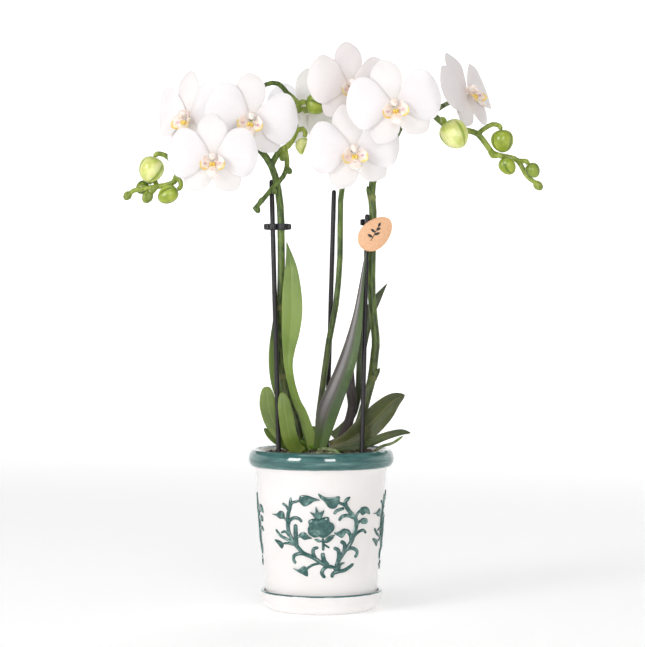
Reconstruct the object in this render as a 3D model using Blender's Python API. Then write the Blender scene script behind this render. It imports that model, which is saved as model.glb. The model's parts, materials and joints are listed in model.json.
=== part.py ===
"""A moth orchid with three flower spikes, growing in bark inside a glazed planter that stands in its saucer.

Sizes are in millimetres until a mesh is finished, when MM turns it into metres. +Z is up, the front of the
planter looks along -Y, and the origin is the middle of the saucer's flat underside. Places on the plant are
counted from the middle of the bark's top.
"""

import math
from dataclasses import dataclass, field

import bmesh
import bpy
from mathutils import Matrix, Vector

MM = 0.001
GAP = 0.3  # between pieces that touch

# Saucer
SAUCER_BASE_RADIUS = 36.0
SAUCER_FLOOR = 4.0
SAUCER_WALL = 2.6
SAUCER_HEIGHT = 15.0
SAUCER_ROOM = 1.3  # between the planter and the lip of the saucer

# Planter
PLANTER_HEIGHT = 116.9
PLANTER_FOOT_RADIUS = 41.3
RIM_RADIUS = 55.0
RIM_ROLL_HEIGHT = 13.2
RIM_ROLL_WIDTH = 8.0
PLANTER_WALL = 4.0
PLANTER_FLOOR = 4.5
DRAIN_RADIUS = 5.0

# Grow pot
GROW_POT_WALL = 1.0
GROW_POT_SIDE_ROOM = 2.4  # between the grow pot and the planter
GROW_POT_TAPER = 5.0
GROW_POT_LIP = 1.6
GROW_POT_DRAIN_RADIUS = 3.0
GROW_POT_DRAIN_COUNT = 6

# Bark
BARK_BELOW_CREST = 5.2
TOP_DRESSING = 4.0  # depth of bark that lies over the grow pot's lip
MOSS_SIZE = (28.0, 14.0, 4.0)
MOSS_PLACE = (2.0, -31.0)

# Supports
STAKE_RADIUS = 2.1
STAKE_DEPTH = 24.0
CLIP_HEIGHT = 4.8
CLIP_WALL = 1.2
CLIP_WING = 3.0
LEFT_CLIP_RISE = 172.8  # of the left clip over the bark
RIGHT_CLIP_RISE = 176.0
TAG_LENGTH = 30.0
TAG_WIDTH = 21.0
TAG_TAPER = -0.14  # how much wider it is towards its upper end
TAG_RISE = 167.5  # of its middle over the bark
TAG_ASIDE = 2.0  # to the right of the stem
TAG_STEPS = 24
TAG_THICKNESS = 0.8

# Plant
CROWN_RADIUS = 9.0
CROWN_HEIGHT = 22.0
CROWN_ROOT_RADIUS = 5.0
CROWN_ROOT_DEPTH = 12.0
CROWN_PLACE = (-6.0, 0.0)
LEAF_THICKNESS = 1.6
LEFT_SPIKE_RADIUS = 3.0
CENTRE_SPIKE_RADIUS = 2.3
RIGHT_SPIKE_RADIUS = 3.3
PEDICEL_RADIUS = 1.5
SPIKE_TIP_RADIUS = 1.4
BRANCH_RADIUS = 1.9
DROOPING_RADIUS = 1.5
DROOPING_KNOBS = (  # share of the shoot, lean of the knob, its length
    (0.12, -0.6, 8.0),
    (0.36, 0.7, 6.5),
    (0.55, -0.9, 5.5),
    (0.72, 0.6, 6.0),
    (0.86, -0.9, 5.5),
    (0.97, 0.4, 6.0),
)
KNOB_SLENDERNESS = 0.75
APPROACH = 3.0  # straight end of a stalk behind its bud
STALK_GAP = 0.5  # between a stalk and its bud or flower

# Flowers
DORSAL_SEPAL = (34.0, 24.0)
LATERAL_SEPAL = (31.0, 23.0)
LATERAL_SPLAY = 36.0  # degrees from straight down
PETAL = (35.0, 42.0)
PETAL_RISE = 4.0  # degrees above level
TEPAL_THICKNESS = 0.7
FLOWER_HUB = 4.5
LIP_LENGTH = 17.0
LIP_WIDTH = 17.0

# Fineness
ROUND_STEPS = 40
TUBE_SIDES = 8
LOBE_STEPS = 36


def bark_top():
    """Height of the bark's top over the surface that the saucer stands on."""
    return SAUCER_FLOOR + GAP + PLANTER_HEIGHT - BARK_BELOW_CREST


def on_bark(point):
    """The place of a point that is given from the middle of the bark's top."""
    return Vector((point[0], point[1], point[2] + bark_top()))


def clear_scene():
    """Remove every object that is in the scene."""
    for old in list(bpy.data.objects):
        bpy.data.objects.remove(old, do_unlink=True)


def finish(name, colour, roughness, metallic=0.0):
    """A plain Principled material."""
    made = bpy.data.materials.new(name)
    made.use_nodes = True
    shader = made.node_tree.nodes["Principled BSDF"]
    shader.inputs["Base Color"].default_value = (*colour, 1.0)
    shader.inputs["Roughness"].default_value = roughness
    shader.inputs["Metallic"].default_value = metallic
    return made


def add_object(name, form, material, collection=None):
    """Turn a bmesh in millimetres into an object in metres, shaded smooth over its rounds."""
    form.normal_update()
    bmesh.ops.recalc_face_normals(form, faces=form.faces)
    mesh = bpy.data.meshes.new(name)
    form.to_mesh(mesh)
    form.free()
    mesh.transform(Matrix.Scale(MM, 4))
    mesh.shade_smooth()
    mesh.set_sharp_from_angle(angle=math.radians(40))
    if material:
        mesh.materials.append(material)
    made = bpy.data.objects.new(name, mesh)
    (collection or bpy.context.scene.collection).objects.link(made)
    return made


def add_tool(name, form, collection):
    """A helper solid that a Boolean reads and that is not a piece of its own."""
    tool = add_object(name, form, None, collection)
    tool.hide_render = True
    tool.display_type = "WIRE"
    return tool


def tool_collection(name):
    """A collection for the helper solids of one piece."""
    made = bpy.data.collections.new(name)
    bpy.context.scene.collection.children.link(made)
    return made


def combine(target, collection, operation):
    """Join or cut a piece with every solid in a collection."""
    modifier = target.modifiers.new(operation.lower(), "BOOLEAN")
    modifier.operation = operation
    modifier.solver = "EXACT"
    modifier.operand_type = "COLLECTION"
    modifier.collection = collection


# ---------------------------------------------------------------- shapes


def turned(profile, steps=ROUND_STEPS):
    """Spin an outline of (radius, height) points about +Z; one that doesn't end on the axis is closed."""
    form = bmesh.new()
    corners = [form.verts.new((radius, 0.0, height)) for radius, height in profile]
    following = corners[1:] if profile[0][0] == profile[-1][0] == 0 else corners[1:] + corners[:1]
    sides = [form.edges.new(pair) for pair in zip(corners, following)]
    bmesh.ops.spin(
        form,
        geom=corners + sides,
        cent=(0, 0, 0),
        axis=(0, 0, 1),
        angle=math.tau,
        steps=steps,
        use_merge=True,
    )
    bmesh.ops.remove_doubles(form, verts=form.verts, dist=0.001)
    bmesh.ops.dissolve_degenerate(form, edges=form.edges, dist=0.001)
    return form


def smooth_route(points, pieces):
    """A Catmull-Rom curve through the points, with so many straight pieces between each two."""
    points = [Vector(point) for point in points]
    ends = [2 * points[0] - points[1]] + points + [2 * points[-1] - points[-2]]
    route = []
    for before, start, stop, after in zip(ends, ends[1:], ends[2:], ends[3:]):
        for piece in range(pieces):
            t = piece / pieces
            route.append(
                0.5
                * (
                    2 * start
                    + (stop - before) * t
                    + (2 * before - 5 * start + 4 * stop - after) * t**2
                    + (3 * start - before - 3 * stop + after) * t**3
                )
            )
    route.append(points[-1])
    return route


def tangents(route):
    """The direction of a route at each of its points."""
    before = [route[0]] + route[:-1]
    after = route[1:] + [route[-1]]
    return [(b - a).normalized() for a, b in zip(before, after)]


def close_rings(form, rings):
    """Faces between following rings of corners, and one across each end."""
    for lower, upper in zip(rings, rings[1:]):
        for here in range(len(lower)):
            there = (here + 1) % len(lower)
            form.faces.new((lower[here], lower[there], upper[there], upper[here]))
    form.faces.new(list(reversed(rings[0])))
    form.faces.new(rings[-1])


def tube(route, radii, sides=TUBE_SIDES):
    """A round rod along a route, with one radius for each point of the route."""
    form = bmesh.new()
    directions = tangents(route)
    across = directions[0].orthogonal().normalized()
    rings = []
    for point, direction, radius in zip(route, directions, radii):
        across = (across - direction * across.dot(direction)).normalized()
        other = direction.cross(across)
        ring = []
        for side in range(sides):
            angle = math.tau * side / sides
            offset = across * math.cos(angle) + other * math.sin(angle)
            ring.append(form.verts.new(point + offset * radius))
        rings.append(ring)
    close_rings(form, rings)
    return form


def tapered(count, first, last):
    """So many radii, evenly from the first to the last."""
    return [first + (last - first) * index / (count - 1) for index in range(count)]


def oval(centre, axis, length, width, steps=(10, 7)):
    """An egg-shaped solid about an axis, a little fuller at its base."""
    form = bmesh.new()
    bmesh.ops.create_uvsphere(form, u_segments=steps[0], v_segments=steps[1], radius=0.5)
    for corner in form.verts:
        corner.co.x *= width * (1 - 0.25 * corner.co.z)
        corner.co.y *= width * (1 - 0.25 * corner.co.z)
        corner.co.z *= length
    turn = Vector(axis).to_track_quat("Z", "Y").to_matrix().to_4x4()
    form.transform(Matrix.Translation(centre) @ turn)
    return form


# ---------------------------------------------------------------- holder and bark


def planter_outer(height):
    """Outer radius of the planter's wall at a height over its foot."""
    top = RIM_RADIUS - RIM_ROLL_WIDTH / 2
    return PLANTER_FOOT_RADIUS + (top - PLANTER_FOOT_RADIUS) * height / PLANTER_HEIGHT


def planter_inner(height):
    """Inner radius of the planter's wall at a height over its foot."""
    return planter_outer(height) - PLANTER_WALL


def build_saucer():
    """A shallow dish with a rounded side and a flat underside."""
    lip_inner = planter_outer(SAUCER_HEIGHT - SAUCER_FLOOR) + SAUCER_ROOM
    lip_outer = lip_inner + SAUCER_WALL
    side = []
    for step in range(5):
        angle = math.radians(90 * step / 4)
        side.append(
            (
                SAUCER_BASE_RADIUS + (lip_outer - 0.8 - SAUCER_BASE_RADIUS) * math.sin(angle),
                (SAUCER_HEIGHT - 5.0) * (1 - math.cos(angle)),
            )
        )
    profile = [(0, 0)] + side
    profile += [
        (lip_outer, SAUCER_HEIGHT - 1.5),
        (lip_outer - 0.8, SAUCER_HEIGHT),
        (lip_inner + 0.6, SAUCER_HEIGHT),
        (lip_inner, SAUCER_HEIGHT - 1.5),
        (lip_inner - 0.3, SAUCER_FLOOR + 3.0),
        (PLANTER_FOOT_RADIUS - 1.0, SAUCER_FLOOR),
        (0, SAUCER_FLOOR),
    ]
    add_object("saucer", turned(profile), finish("saucer_glaze", (0.87, 0.85, 0.84), 0.12))


def build_planter():
    """A tapered pot with a rolled rim, open at the top, with a drain hole in its floor."""
    foot = SAUCER_FLOOR + GAP
    crest = foot + PLANTER_HEIGHT
    roll_centre = crest - RIM_ROLL_HEIGHT / 2
    roll_radius = RIM_RADIUS - RIM_ROLL_WIDTH / 2
    profile = [
        (DRAIN_RADIUS, foot),
        (PLANTER_FOOT_RADIUS - 2.5, foot),
        (PLANTER_FOOT_RADIUS, foot + 2.0),
        (planter_outer(PLANTER_HEIGHT / 2), foot + PLANTER_HEIGHT / 2),
        (planter_outer(PLANTER_HEIGHT - RIM_ROLL_HEIGHT), crest - RIM_ROLL_HEIGHT),
    ]
    for step in range(11):
        angle = math.radians(-70 + 250 * step / 10)
        profile.append(
            (
                roll_radius + RIM_ROLL_WIDTH / 2 * math.cos(angle),
                roll_centre + RIM_ROLL_HEIGHT / 2 * math.sin(angle),
            )
        )
    profile += [
        (planter_inner(PLANTER_HEIGHT - RIM_ROLL_HEIGHT), crest - RIM_ROLL_HEIGHT),
        (planter_inner(PLANTER_FLOOR + 3.0), foot + PLANTER_FLOOR + 3.0),
        (planter_inner(PLANTER_FLOOR) - 3.0, foot + PLANTER_FLOOR),
        (DRAIN_RADIUS, foot + PLANTER_FLOOR),
    ]
    add_object("planter", turned(profile), finish("planter_glaze", (0.87, 0.85, 0.84), 0.12))


def grow_pot_levels():
    """Bottom and top height of the grow pot, and its outer radii there."""
    bottom = SAUCER_FLOOR + GAP + PLANTER_FLOOR + GAP
    top = bark_top() - TOP_DRESSING
    upper = planter_inner(PLANTER_HEIGHT - RIM_ROLL_HEIGHT) - GROW_POT_SIDE_ROOM
    lower = planter_inner(PLANTER_FLOOR) - GROW_POT_SIDE_ROOM - GROW_POT_TAPER
    return bottom, top, lower, upper


def build_grow_pot():
    """A thin plastic pot with a small lip and a ring of drain holes."""
    bottom, top, lower, upper = grow_pot_levels()
    inner_lower = lower - GROW_POT_WALL
    inner_upper = upper - GROW_POT_WALL
    profile = [
        (0, bottom),
        (lower, bottom),
        (upper, top - 3.0),
        (upper + GROW_POT_LIP, top - 3.0),
        (upper + GROW_POT_LIP, top),
        (inner_upper, top),
        (inner_lower, bottom + GROW_POT_WALL),
        (0, bottom + GROW_POT_WALL),
    ]
    black = finish("grow_pot_plastic", (0.02, 0.02, 0.02), 0.5)
    pot = add_object("grow_pot", turned(profile, 32), black)
    holes = tool_collection("grow_pot_holes")
    for index in range(GROW_POT_DRAIN_COUNT):
        angle = math.tau * index / GROW_POT_DRAIN_COUNT
        hole = bmesh.new()
        bmesh.ops.create_cone(
            hole,
            cap_ends=True,
            segments=10,
            radius1=GROW_POT_DRAIN_RADIUS,
            radius2=GROW_POT_DRAIN_RADIUS,
            depth=6 * GROW_POT_WALL,
            matrix=Matrix.Translation(
                (lower * 0.6 * math.cos(angle), lower * 0.6 * math.sin(angle), bottom)
            ),
        )
        add_tool(f"drain_{index}", hole, holes)
    combine(pot, holes, "DIFFERENCE")


def build_bark(stakes):
    """The bark that fills the grow pot and covers its lip, with room for the stakes and the crown's root."""
    bottom, top, lower, upper = grow_pot_levels()
    inner_lower = lower - GROW_POT_WALL - GAP
    inner_upper = upper - GROW_POT_WALL - GAP
    surface = bark_top()
    dressing = planter_inner(PLANTER_HEIGHT - RIM_ROLL_HEIGHT) - GAP
    profile = [
        (0, bottom + GROW_POT_WALL + GAP),
        (inner_lower, bottom + GROW_POT_WALL + GAP),
        (inner_upper, top + GAP),
        (dressing, top + GAP),
        (dressing, surface - 1.0),
        (dressing - 4.0, surface),
        (0, surface),
    ]
    brown = finish("bark", (0.18, 0.1, 0.06), 0.9)
    bark = add_object("bark_mix", turned(profile, 32), brown)
    holes = tool_collection("bark_holes")
    for stake in stakes:
        radii = [stake.radius + GAP] * len(stake.route)
        ends = [stake.route[0] + Vector((0, 0, -GAP)), *stake.route[1:]]
        add_tool(f"{stake.name}_hole", tube(ends, radii), holes)
    root = crown_outline(GAP)
    add_tool("crown_hole", turned(root, 16), holes)
    holes.objects["crown_hole"].location = crown_location()
    combine(bark, holes, "DIFFERENCE")


def build_moss():
    """A low pillow of moss on the bark, flat underneath."""
    form = bmesh.new()
    bmesh.ops.create_uvsphere(form, u_segments=16, v_segments=8, radius=0.5)
    low = [corner for corner in form.verts if corner.co.z < -0.01]
    bmesh.ops.delete(form, geom=low, context="VERTS")
    rim = [edge for edge in form.edges if edge.is_boundary]
    bmesh.ops.contextual_create(form, geom=rim)
    for corner in form.verts:
        corner.co.x *= MOSS_SIZE[0]
        corner.co.y *= MOSS_SIZE[1]
        corner.co.z *= MOSS_SIZE[2] * 2
    form.transform(Matrix.Translation(on_bark((*MOSS_PLACE, GAP))))
    add_object("moss", form, finish("moss", (0.35, 0.38, 0.22), 0.95))


# ---------------------------------------------------------------- supports


@dataclass
class Rod:
    """A round rod along a route, on which other pieces find their places."""

    name: str
    route: list
    radius: float

    def at(self, share):
        """The point at a share of the route's points."""
        place = share * (len(self.route) - 1)
        index = min(int(place), len(self.route) - 2)
        return self.route[index].lerp(self.route[index + 1], place - index)

    def at_height(self, height):
        """The first point of the route that reaches a height."""
        for low, high in zip(self.route, self.route[1:]):
            if low.z <= height <= high.z:
                return low.lerp(high, (height - low.z) / (high.z - low.z))
        return self.route[-1]


def stake(name, foot, top):
    """A straight stake through a point on the bark, pushed down into it."""
    foot = on_bark((*foot, 0.0))
    top = on_bark(top)
    along = (top - foot).normalized()
    point = foot - along * STAKE_DEPTH
    route = [point, point + along * 6.0, top - along * 1.0, top]
    return Rod(name, route, STAKE_RADIUS)


def build_stakes(stakes):
    """Stakes with a blunt point below and a small chamfer on top."""
    black = finish("stake_plastic", (0.03, 0.03, 0.028), 0.4)
    for rod in stakes:
        radii = [rod.radius * 0.4, rod.radius, rod.radius, rod.radius * 0.7]
        add_object(rod.name, tube(rod.route, radii), black)


def build_clip(name, rod, stem, height, black):
    """A block with a hole for the stake and one for the stem, and a flat wing at each end."""
    middle_height = bark_top() + height
    first = rod.at_height(middle_height)
    second = stem.at_height(middle_height)
    along = (second - first).normalized()
    across = Vector((-along.y, along.x, 0.0))
    half_width = max(rod.radius, stem.radius) + GAP + CLIP_WALL
    start = -(rod.radius + GAP + CLIP_WALL)
    stop = (second - first).length + stem.radius + GAP + CLIP_WALL
    wing = CLIP_WALL / 2
    outline = [
        (start - CLIP_WING, -wing),
        (start, -wing),
        (start, -half_width),
        (stop, -half_width),
        (stop, -wing),
        (stop + CLIP_WING, -wing),
        (stop + CLIP_WING, wing),
        (stop, wing),
        (stop, half_width),
        (start, half_width),
        (start, wing),
        (start - CLIP_WING, wing),
    ]
    corners = [first + along * x + across * y for x, y in outline]
    form = bmesh.new()
    rings = []
    for level in (-CLIP_HEIGHT / 2, CLIP_HEIGHT / 2):
        rings.append([form.verts.new(corner + Vector((0, 0, level))) for corner in corners])
    close_rings(form, rings)
    clip = add_object(name, form, black)
    holes = tool_collection(f"{name}_holes")
    for held in (rod, stem):
        sleeve = tube(held.route, [held.radius + GAP] * len(held.route))
        add_tool(f"{name}_{held.name}_hole", sleeve, holes)
    combine(clip, holes, "DIFFERENCE")
    return min(corner.y for corner in corners)


def build_tag(stem, front):
    """A thin egg-shaped card in front of the clip, its narrow end up and to the right."""
    centre = stem.at_height(bark_top() + TAG_RISE) + Vector((TAG_ASIDE, 0, 0))
    along = Vector((1, 0, 1)).normalized()
    across = Vector((-1, 0, 1)).normalized()
    outline = []
    for step in range(TAG_STEPS):
        angle = -math.tau * step / TAG_STEPS
        half_width = TAG_WIDTH / 2 * (1 + TAG_TAPER * math.cos(angle))
        outline.append(
            centre + along * TAG_LENGTH / 2 * math.cos(angle) + across * half_width * math.sin(angle)
        )
    form = bmesh.new()
    rings = []
    for depth in (front - GAP, front - GAP - TAG_THICKNESS):
        rings.append([form.verts.new((place.x, depth, place.z)) for place in outline])
    close_rings(form, rings)
    add_object("name_tag", form, finish("tag_card", (0.55, 0.38, 0.26), 0.8))


# ---------------------------------------------------------------- crown, leaves and roots


def crown_location():
    """The crown's axis in metres, because a finished object is placed in metres."""
    return Vector((CROWN_PLACE[0], CROWN_PLACE[1], 0.0)) * MM


def crown_outline(room):
    """The crown's root below the bark's top, grown by some room."""
    surface = bark_top()
    return [
        (0, surface - CROWN_ROOT_DEPTH - room),
        (CROWN_ROOT_RADIUS + room, surface - CROWN_ROOT_DEPTH - room),
        (CROWN_ROOT_RADIUS + room, surface + 2.0),
        (0, surface + 2.0),
    ]


def build_crown(green):
    """The short stem that every leaf and spike starts from, with a root that goes into the bark."""
    surface = bark_top()
    profile = crown_outline(0.0)[:2] + [(CROWN_ROOT_RADIUS, surface + GAP)]
    for step in range(6):
        angle = math.radians(90 * step / 5)
        radius = CROWN_RADIUS * math.cos(angle) ** 0.7 if step < 5 else 0.0
        profile.append((radius, surface + GAP + CROWN_HEIGHT * math.sin(angle)))
    crown = add_object("crown", turned(profile, 20), green)
    crown.location = crown_location()


@dataclass
class Leaf:
    """A strap-shaped blade: the route of its midrib, where its face looks, and its widths along the route."""

    name: str
    midrib: list
    widths: list
    face: tuple = (0.0, -1.0, 0.0)
    fold: float = 0.25
    thickness: float = LEAF_THICKNESS


def build_leaf(leaf, material):
    """A closed blade with thin edges, folded along its midrib and closed to a point at its tip."""
    form = bmesh.new()
    route = smooth_route([on_bark(point) for point in leaf.midrib], 2)
    directions = tangents(route)
    rings = []
    for index, (point, direction) in enumerate(zip(route[:-1], directions)):
        place = index / (len(route) - 1) * (len(leaf.widths) - 1)
        low = min(int(place), len(leaf.widths) - 2)
        half = (leaf.widths[low] + (leaf.widths[low + 1] - leaf.widths[low]) * (place - low)) / 2
        side = direction.cross(Vector(leaf.face)).normalized()
        front = side.cross(direction).normalized()
        ring = []
        for across, skin in ((-1, 0), (-0.5, 1), (0, 1), (0.5, 1), (1, 0), (0.5, -1), (0, -1), (-0.5, -1)):
            lift = half * leaf.fold * abs(across) + skin * leaf.thickness / 2
            ring.append(form.verts.new(point + side * half * across + front * lift))
        rings.append(ring)
    close_rings(form, rings)
    bmesh.ops.pointmerge(form, verts=rings[-1], merge_co=route[-1])
    add_object(leaf.name, form, material)


def build_root(name, points, radius, material):
    """A round root that narrows towards its end."""
    route = smooth_route([on_bark(point) for point in points], 3)
    add_object(name, tube(route, tapered(len(route), radius, radius * 0.6)), material)


# ---------------------------------------------------------------- flowers and buds


@dataclass
class Flower:
    """An open flower: where its middle is, where it looks, and how far it leans to its own left."""

    name: str
    centre: tuple
    facing: tuple
    lean: float = 0.0
    cup: float = -3.0
    scale: float = 1.0

    def place(self):
        """Matrix from the flower's own frame (right, up, forward) to the plant's."""
        forward = Vector(self.facing).normalized()
        right = Vector((0, 0, 1)).cross(forward).normalized()
        up = forward.cross(right)
        turn = Matrix((right, up, forward)).transposed().to_4x4()
        lean = Matrix.Rotation(math.radians(self.lean), 4, "Z")
        return Matrix.Translation(on_bark(self.centre)) @ turn @ lean

    def back(self, distance):
        """A point so far behind the flower's back."""
        return self.place() @ Vector((0, 0, -TEPAL_THICKNESS - GAP - distance))


def lobe_reach(angle, lobes):
    """How far the outline reaches in a direction: the outermost of the hub and the oval lobes."""
    reach = FLOWER_HUB
    for heading, length, width in lobes:
        turn = math.radians(angle - heading)
        if math.cos(turn) <= 0:
            continue
        half_length, half_width = length / 2, width / 2
        along = math.cos(turn) / half_length
        spread = along**2 + (math.sin(turn) / half_width) ** 2
        reach = max(reach, 2 * along / spread)
    return reach


def lobed_plate(flower, lobes, back):
    """A thin closed plate with oval lobes, its back so far in front of the flower's middle."""
    form = bmesh.new()
    layers = []
    largest = DORSAL_SEPAL[0]
    for depth in (back, back + TEPAL_THICKNESS):
        hub = form.verts.new((0, 0, depth))
        rings = []
        for share in (0.5, 1.0):
            ring = []
            for step in range(LOBE_STEPS):
                heading = 360 * step / LOBE_STEPS
                reach = lobe_reach(heading, lobes) * share
                angle = math.radians(heading)
                bend = flower.cup * (reach / largest) ** 2
                spot = (reach * math.cos(angle), reach * math.sin(angle), depth + bend)
                ring.append(form.verts.new(spot))
            rings.append(ring)
        layers.append((hub, rings))
    for hub, rings in layers:
        for step in range(LOBE_STEPS):
            after = (step + 1) % LOBE_STEPS
            form.faces.new((hub, rings[0][step], rings[0][after]))
            for inner, outer in zip(rings, rings[1:]):
                form.faces.new((inner[step], outer[step], outer[after], inner[after]))
    back_edge, front_edge = layers[0][1][-1], layers[1][1][-1]
    for step in range(LOBE_STEPS):
        after = (step + 1) % LOBE_STEPS
        form.faces.new((back_edge[step], back_edge[after], front_edge[after], front_edge[step]))
    form.transform(Matrix.Scale(flower.scale, 4))
    form.transform(flower.place())
    return form


def lip_form(flower, back):
    """The column and the lip below it, as one rounded tongue that comes forward and turns down."""
    form = bmesh.new()
    stations = (
        (0.0, 1.5, 3.0, 3.0),
        (3.0, 1.0, 6.5, 5.0),
        (7.0, -3.0, 8.0, 6.0),
        (10.5, -8.0, LIP_WIDTH / 2, 5.0),
        (12.0, -LIP_LENGTH + 3.5, 6.0, 3.5),
        (11.5, -LIP_LENGTH, 2.0, 1.5),
    )
    rings = []
    for forward, rise, half_width, half_height in stations:
        ring = []
        for step in range(10):
            angle = math.tau * step / 10
            spot = (
                half_width * math.cos(angle),
                rise + half_height * math.sin(angle) * 0.9,
                back + forward + half_height * math.sin(angle) * 0.45 * (forward > 0),
            )
            ring.append(form.verts.new(spot))
        rings.append(ring)
    close_rings(form, rings)
    form.transform(Matrix.Scale(flower.scale, 4))
    form.transform(flower.place())
    return form


def build_flower(flower, white, lip_finish):
    """Three sepals behind, two petals in front of them, and the lip in front of both."""
    sepals = [
        (90.0, *DORSAL_SEPAL),
        (270.0 - LATERAL_SPLAY, *LATERAL_SEPAL),
        (270.0 + LATERAL_SPLAY, *LATERAL_SEPAL),
    ]
    petals = [(PETAL_RISE, *PETAL), (180.0 - PETAL_RISE, *PETAL)]
    layer = TEPAL_THICKNESS + GAP
    add_object(f"{flower.name}_sepals", lobed_plate(flower, sepals, -layer), white)
    add_object(f"{flower.name}_petals", lobed_plate(flower, petals, 0.0), white)
    add_object(f"{flower.name}_lip", lip_form(flower, layer), lip_finish)


@dataclass
class Bud:
    """A closed bud: its middle, the way its tip points, its length and width."""

    name: str
    centre: tuple
    axis: tuple
    length: float
    width: float

    def base(self, distance):
        """A point so far behind the bud's base."""
        along = Vector(self.axis).normalized()
        return on_bark(self.centre) - along * (self.length / 2 + distance)

    def form(self):
        """The bud's solid."""
        return oval(on_bark(self.centre), self.axis, self.length, self.width)


# ---------------------------------------------------------------- spikes


@dataclass
class Spike:
    """A flower spike: its stem, and everything that grows from it as one piece."""

    stem: Rod
    tip_radius: float
    shoots: list = field(default_factory=list)

    def shoot(self, start, points, stop=(), radius=PEDICEL_RADIUS):
        """A side shoot from a point inside another shoot, through points on the plant, to its stop."""
        knots = [start] + [on_bark(point) for point in points] + list(stop)
        route = smooth_route(knots, 2)
        self.shoots.append(tube(route, tapered(len(route), radius * 1.15, radius), 6))
        return Rod(f"{self.stem.name}_shoot", route, radius)

    def pedicel(self, start, points, held):
        """A stalk to the back of a flower or the base of a bud."""
        if isinstance(held, Flower):
            return self.shoot(start, points, (held.back(2 * APPROACH), held.back(STALK_GAP)))
        return self.shoot(start, points, (held.base(APPROACH), held.base(STALK_GAP)))

    def knob(self, centre, axis, length, width):
        """A small bud or bract that stays one with the stem."""
        self.shoots.append(oval(on_bark(centre), axis, length, width, (6, 4)))

    def build(self, green):
        """Join the stem and its shoots into one solid."""
        count = len(self.stem.route)
        radii = tapered(count, self.stem.radius, self.tip_radius)
        stem = add_object(self.stem.name, tube(self.stem.route, radii), green)
        tools = tool_collection(f"{self.stem.name}_shoots")
        for index, form in enumerate(self.shoots):
            add_tool(f"{self.stem.name}_shoot_{index}", form, tools)
        if self.shoots:
            combine(stem, tools, "UNION")


FLOWERS = {
    "far_left": Flower("flower_far_left", (-100.5, 5, 257), (-0.69, -0.72, 0.0), 0, -2.0),
    "left_front": Flower("flower_left_front", (-79.6, -50, 222.5), (0.0, -1.0, 0.0), 0, -3.0, 0.95),
    "left_upper": Flower("flower_left_upper", (-52.2, -27, 253), (0.05, -1.0, 0.05), -10, -3.0),
    "turned_away": Flower("flower_turned_away", (-10.1, 15, 261), (0.3, 0.95, 0.0), 0, -4.0, 0.95),
    "top": Flower("flower_top", (21.1, -21, 278.3), (0.35, -0.93, 0.05), 0, -3.0, 0.95),
    "middle_front": Flower("flower_middle_front", (53.6, -51, 261.3), (0.0, -1.0, 0.0), 9, -3.0),
    "middle_lower": Flower("flower_middle_lower", (23.8, -35, 229), (0.08, -1.0, 0.0), 5, -3.0),
    "far_right": Flower("flower_far_right", (110.5, 7, 274.5), (0.78, -0.52, 0.35), 6, -2.0),
}

BUDS = {
    "left_large": Bud("bud_left_large", (-127.5, -19, 215.2), (-0.35, 0, -0.93), 19.5, 18.5),
    "left_round": Bud("bud_left_round", (-114.1, -26, 195.9), (-0.8, -0.1, -0.5), 16.0, 13.0),
    "left_small": Bud("bud_left_small", (-134.2, -11, 201.9), (-0.8, 0, -0.6), 10.5, 10.0),
    "branch_large": Bud("bud_branch_large", (-3.4, -8, 264.7), (0.98, 0, -0.15), 16.5, 15.5),
    "branch_bent": Bud("bud_branch_bent", (-14.8, -9, 233.6), (-0.3, 0, -0.95), 13.0, 8.0),
    "right_large": Bud("bud_right_large", (99.2, -26, 241), (0.6, 0, -0.8), 22.5, 20.5),
    "right_second": Bud("bud_right_second", (136.1, -12, 236.9), (0.2, 0, -1.0), 17.0, 16.5),
    "right_third": Bud("bud_right_third", (139.5, -17, 218.0), (0.6, 0, -0.8), 14.0, 12.0),
    "right_fourth": Bud("bud_right_fourth", (158.6, -15, 214.8), (0.6, 0, -0.8), 11.5, 10.5),
}

STAKES = {
    "left": stake("stake_left", (-31.9, -11.0), (-37.6, -3.0, 208.3)),
    "centre": stake("stake_centre", (3.9, 15.5), (9.7, 15.5, 201.3)),
    "right": stake("stake_right", (30.4, -19.4), (34.5, -9.6, 182.0)),
}


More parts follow.
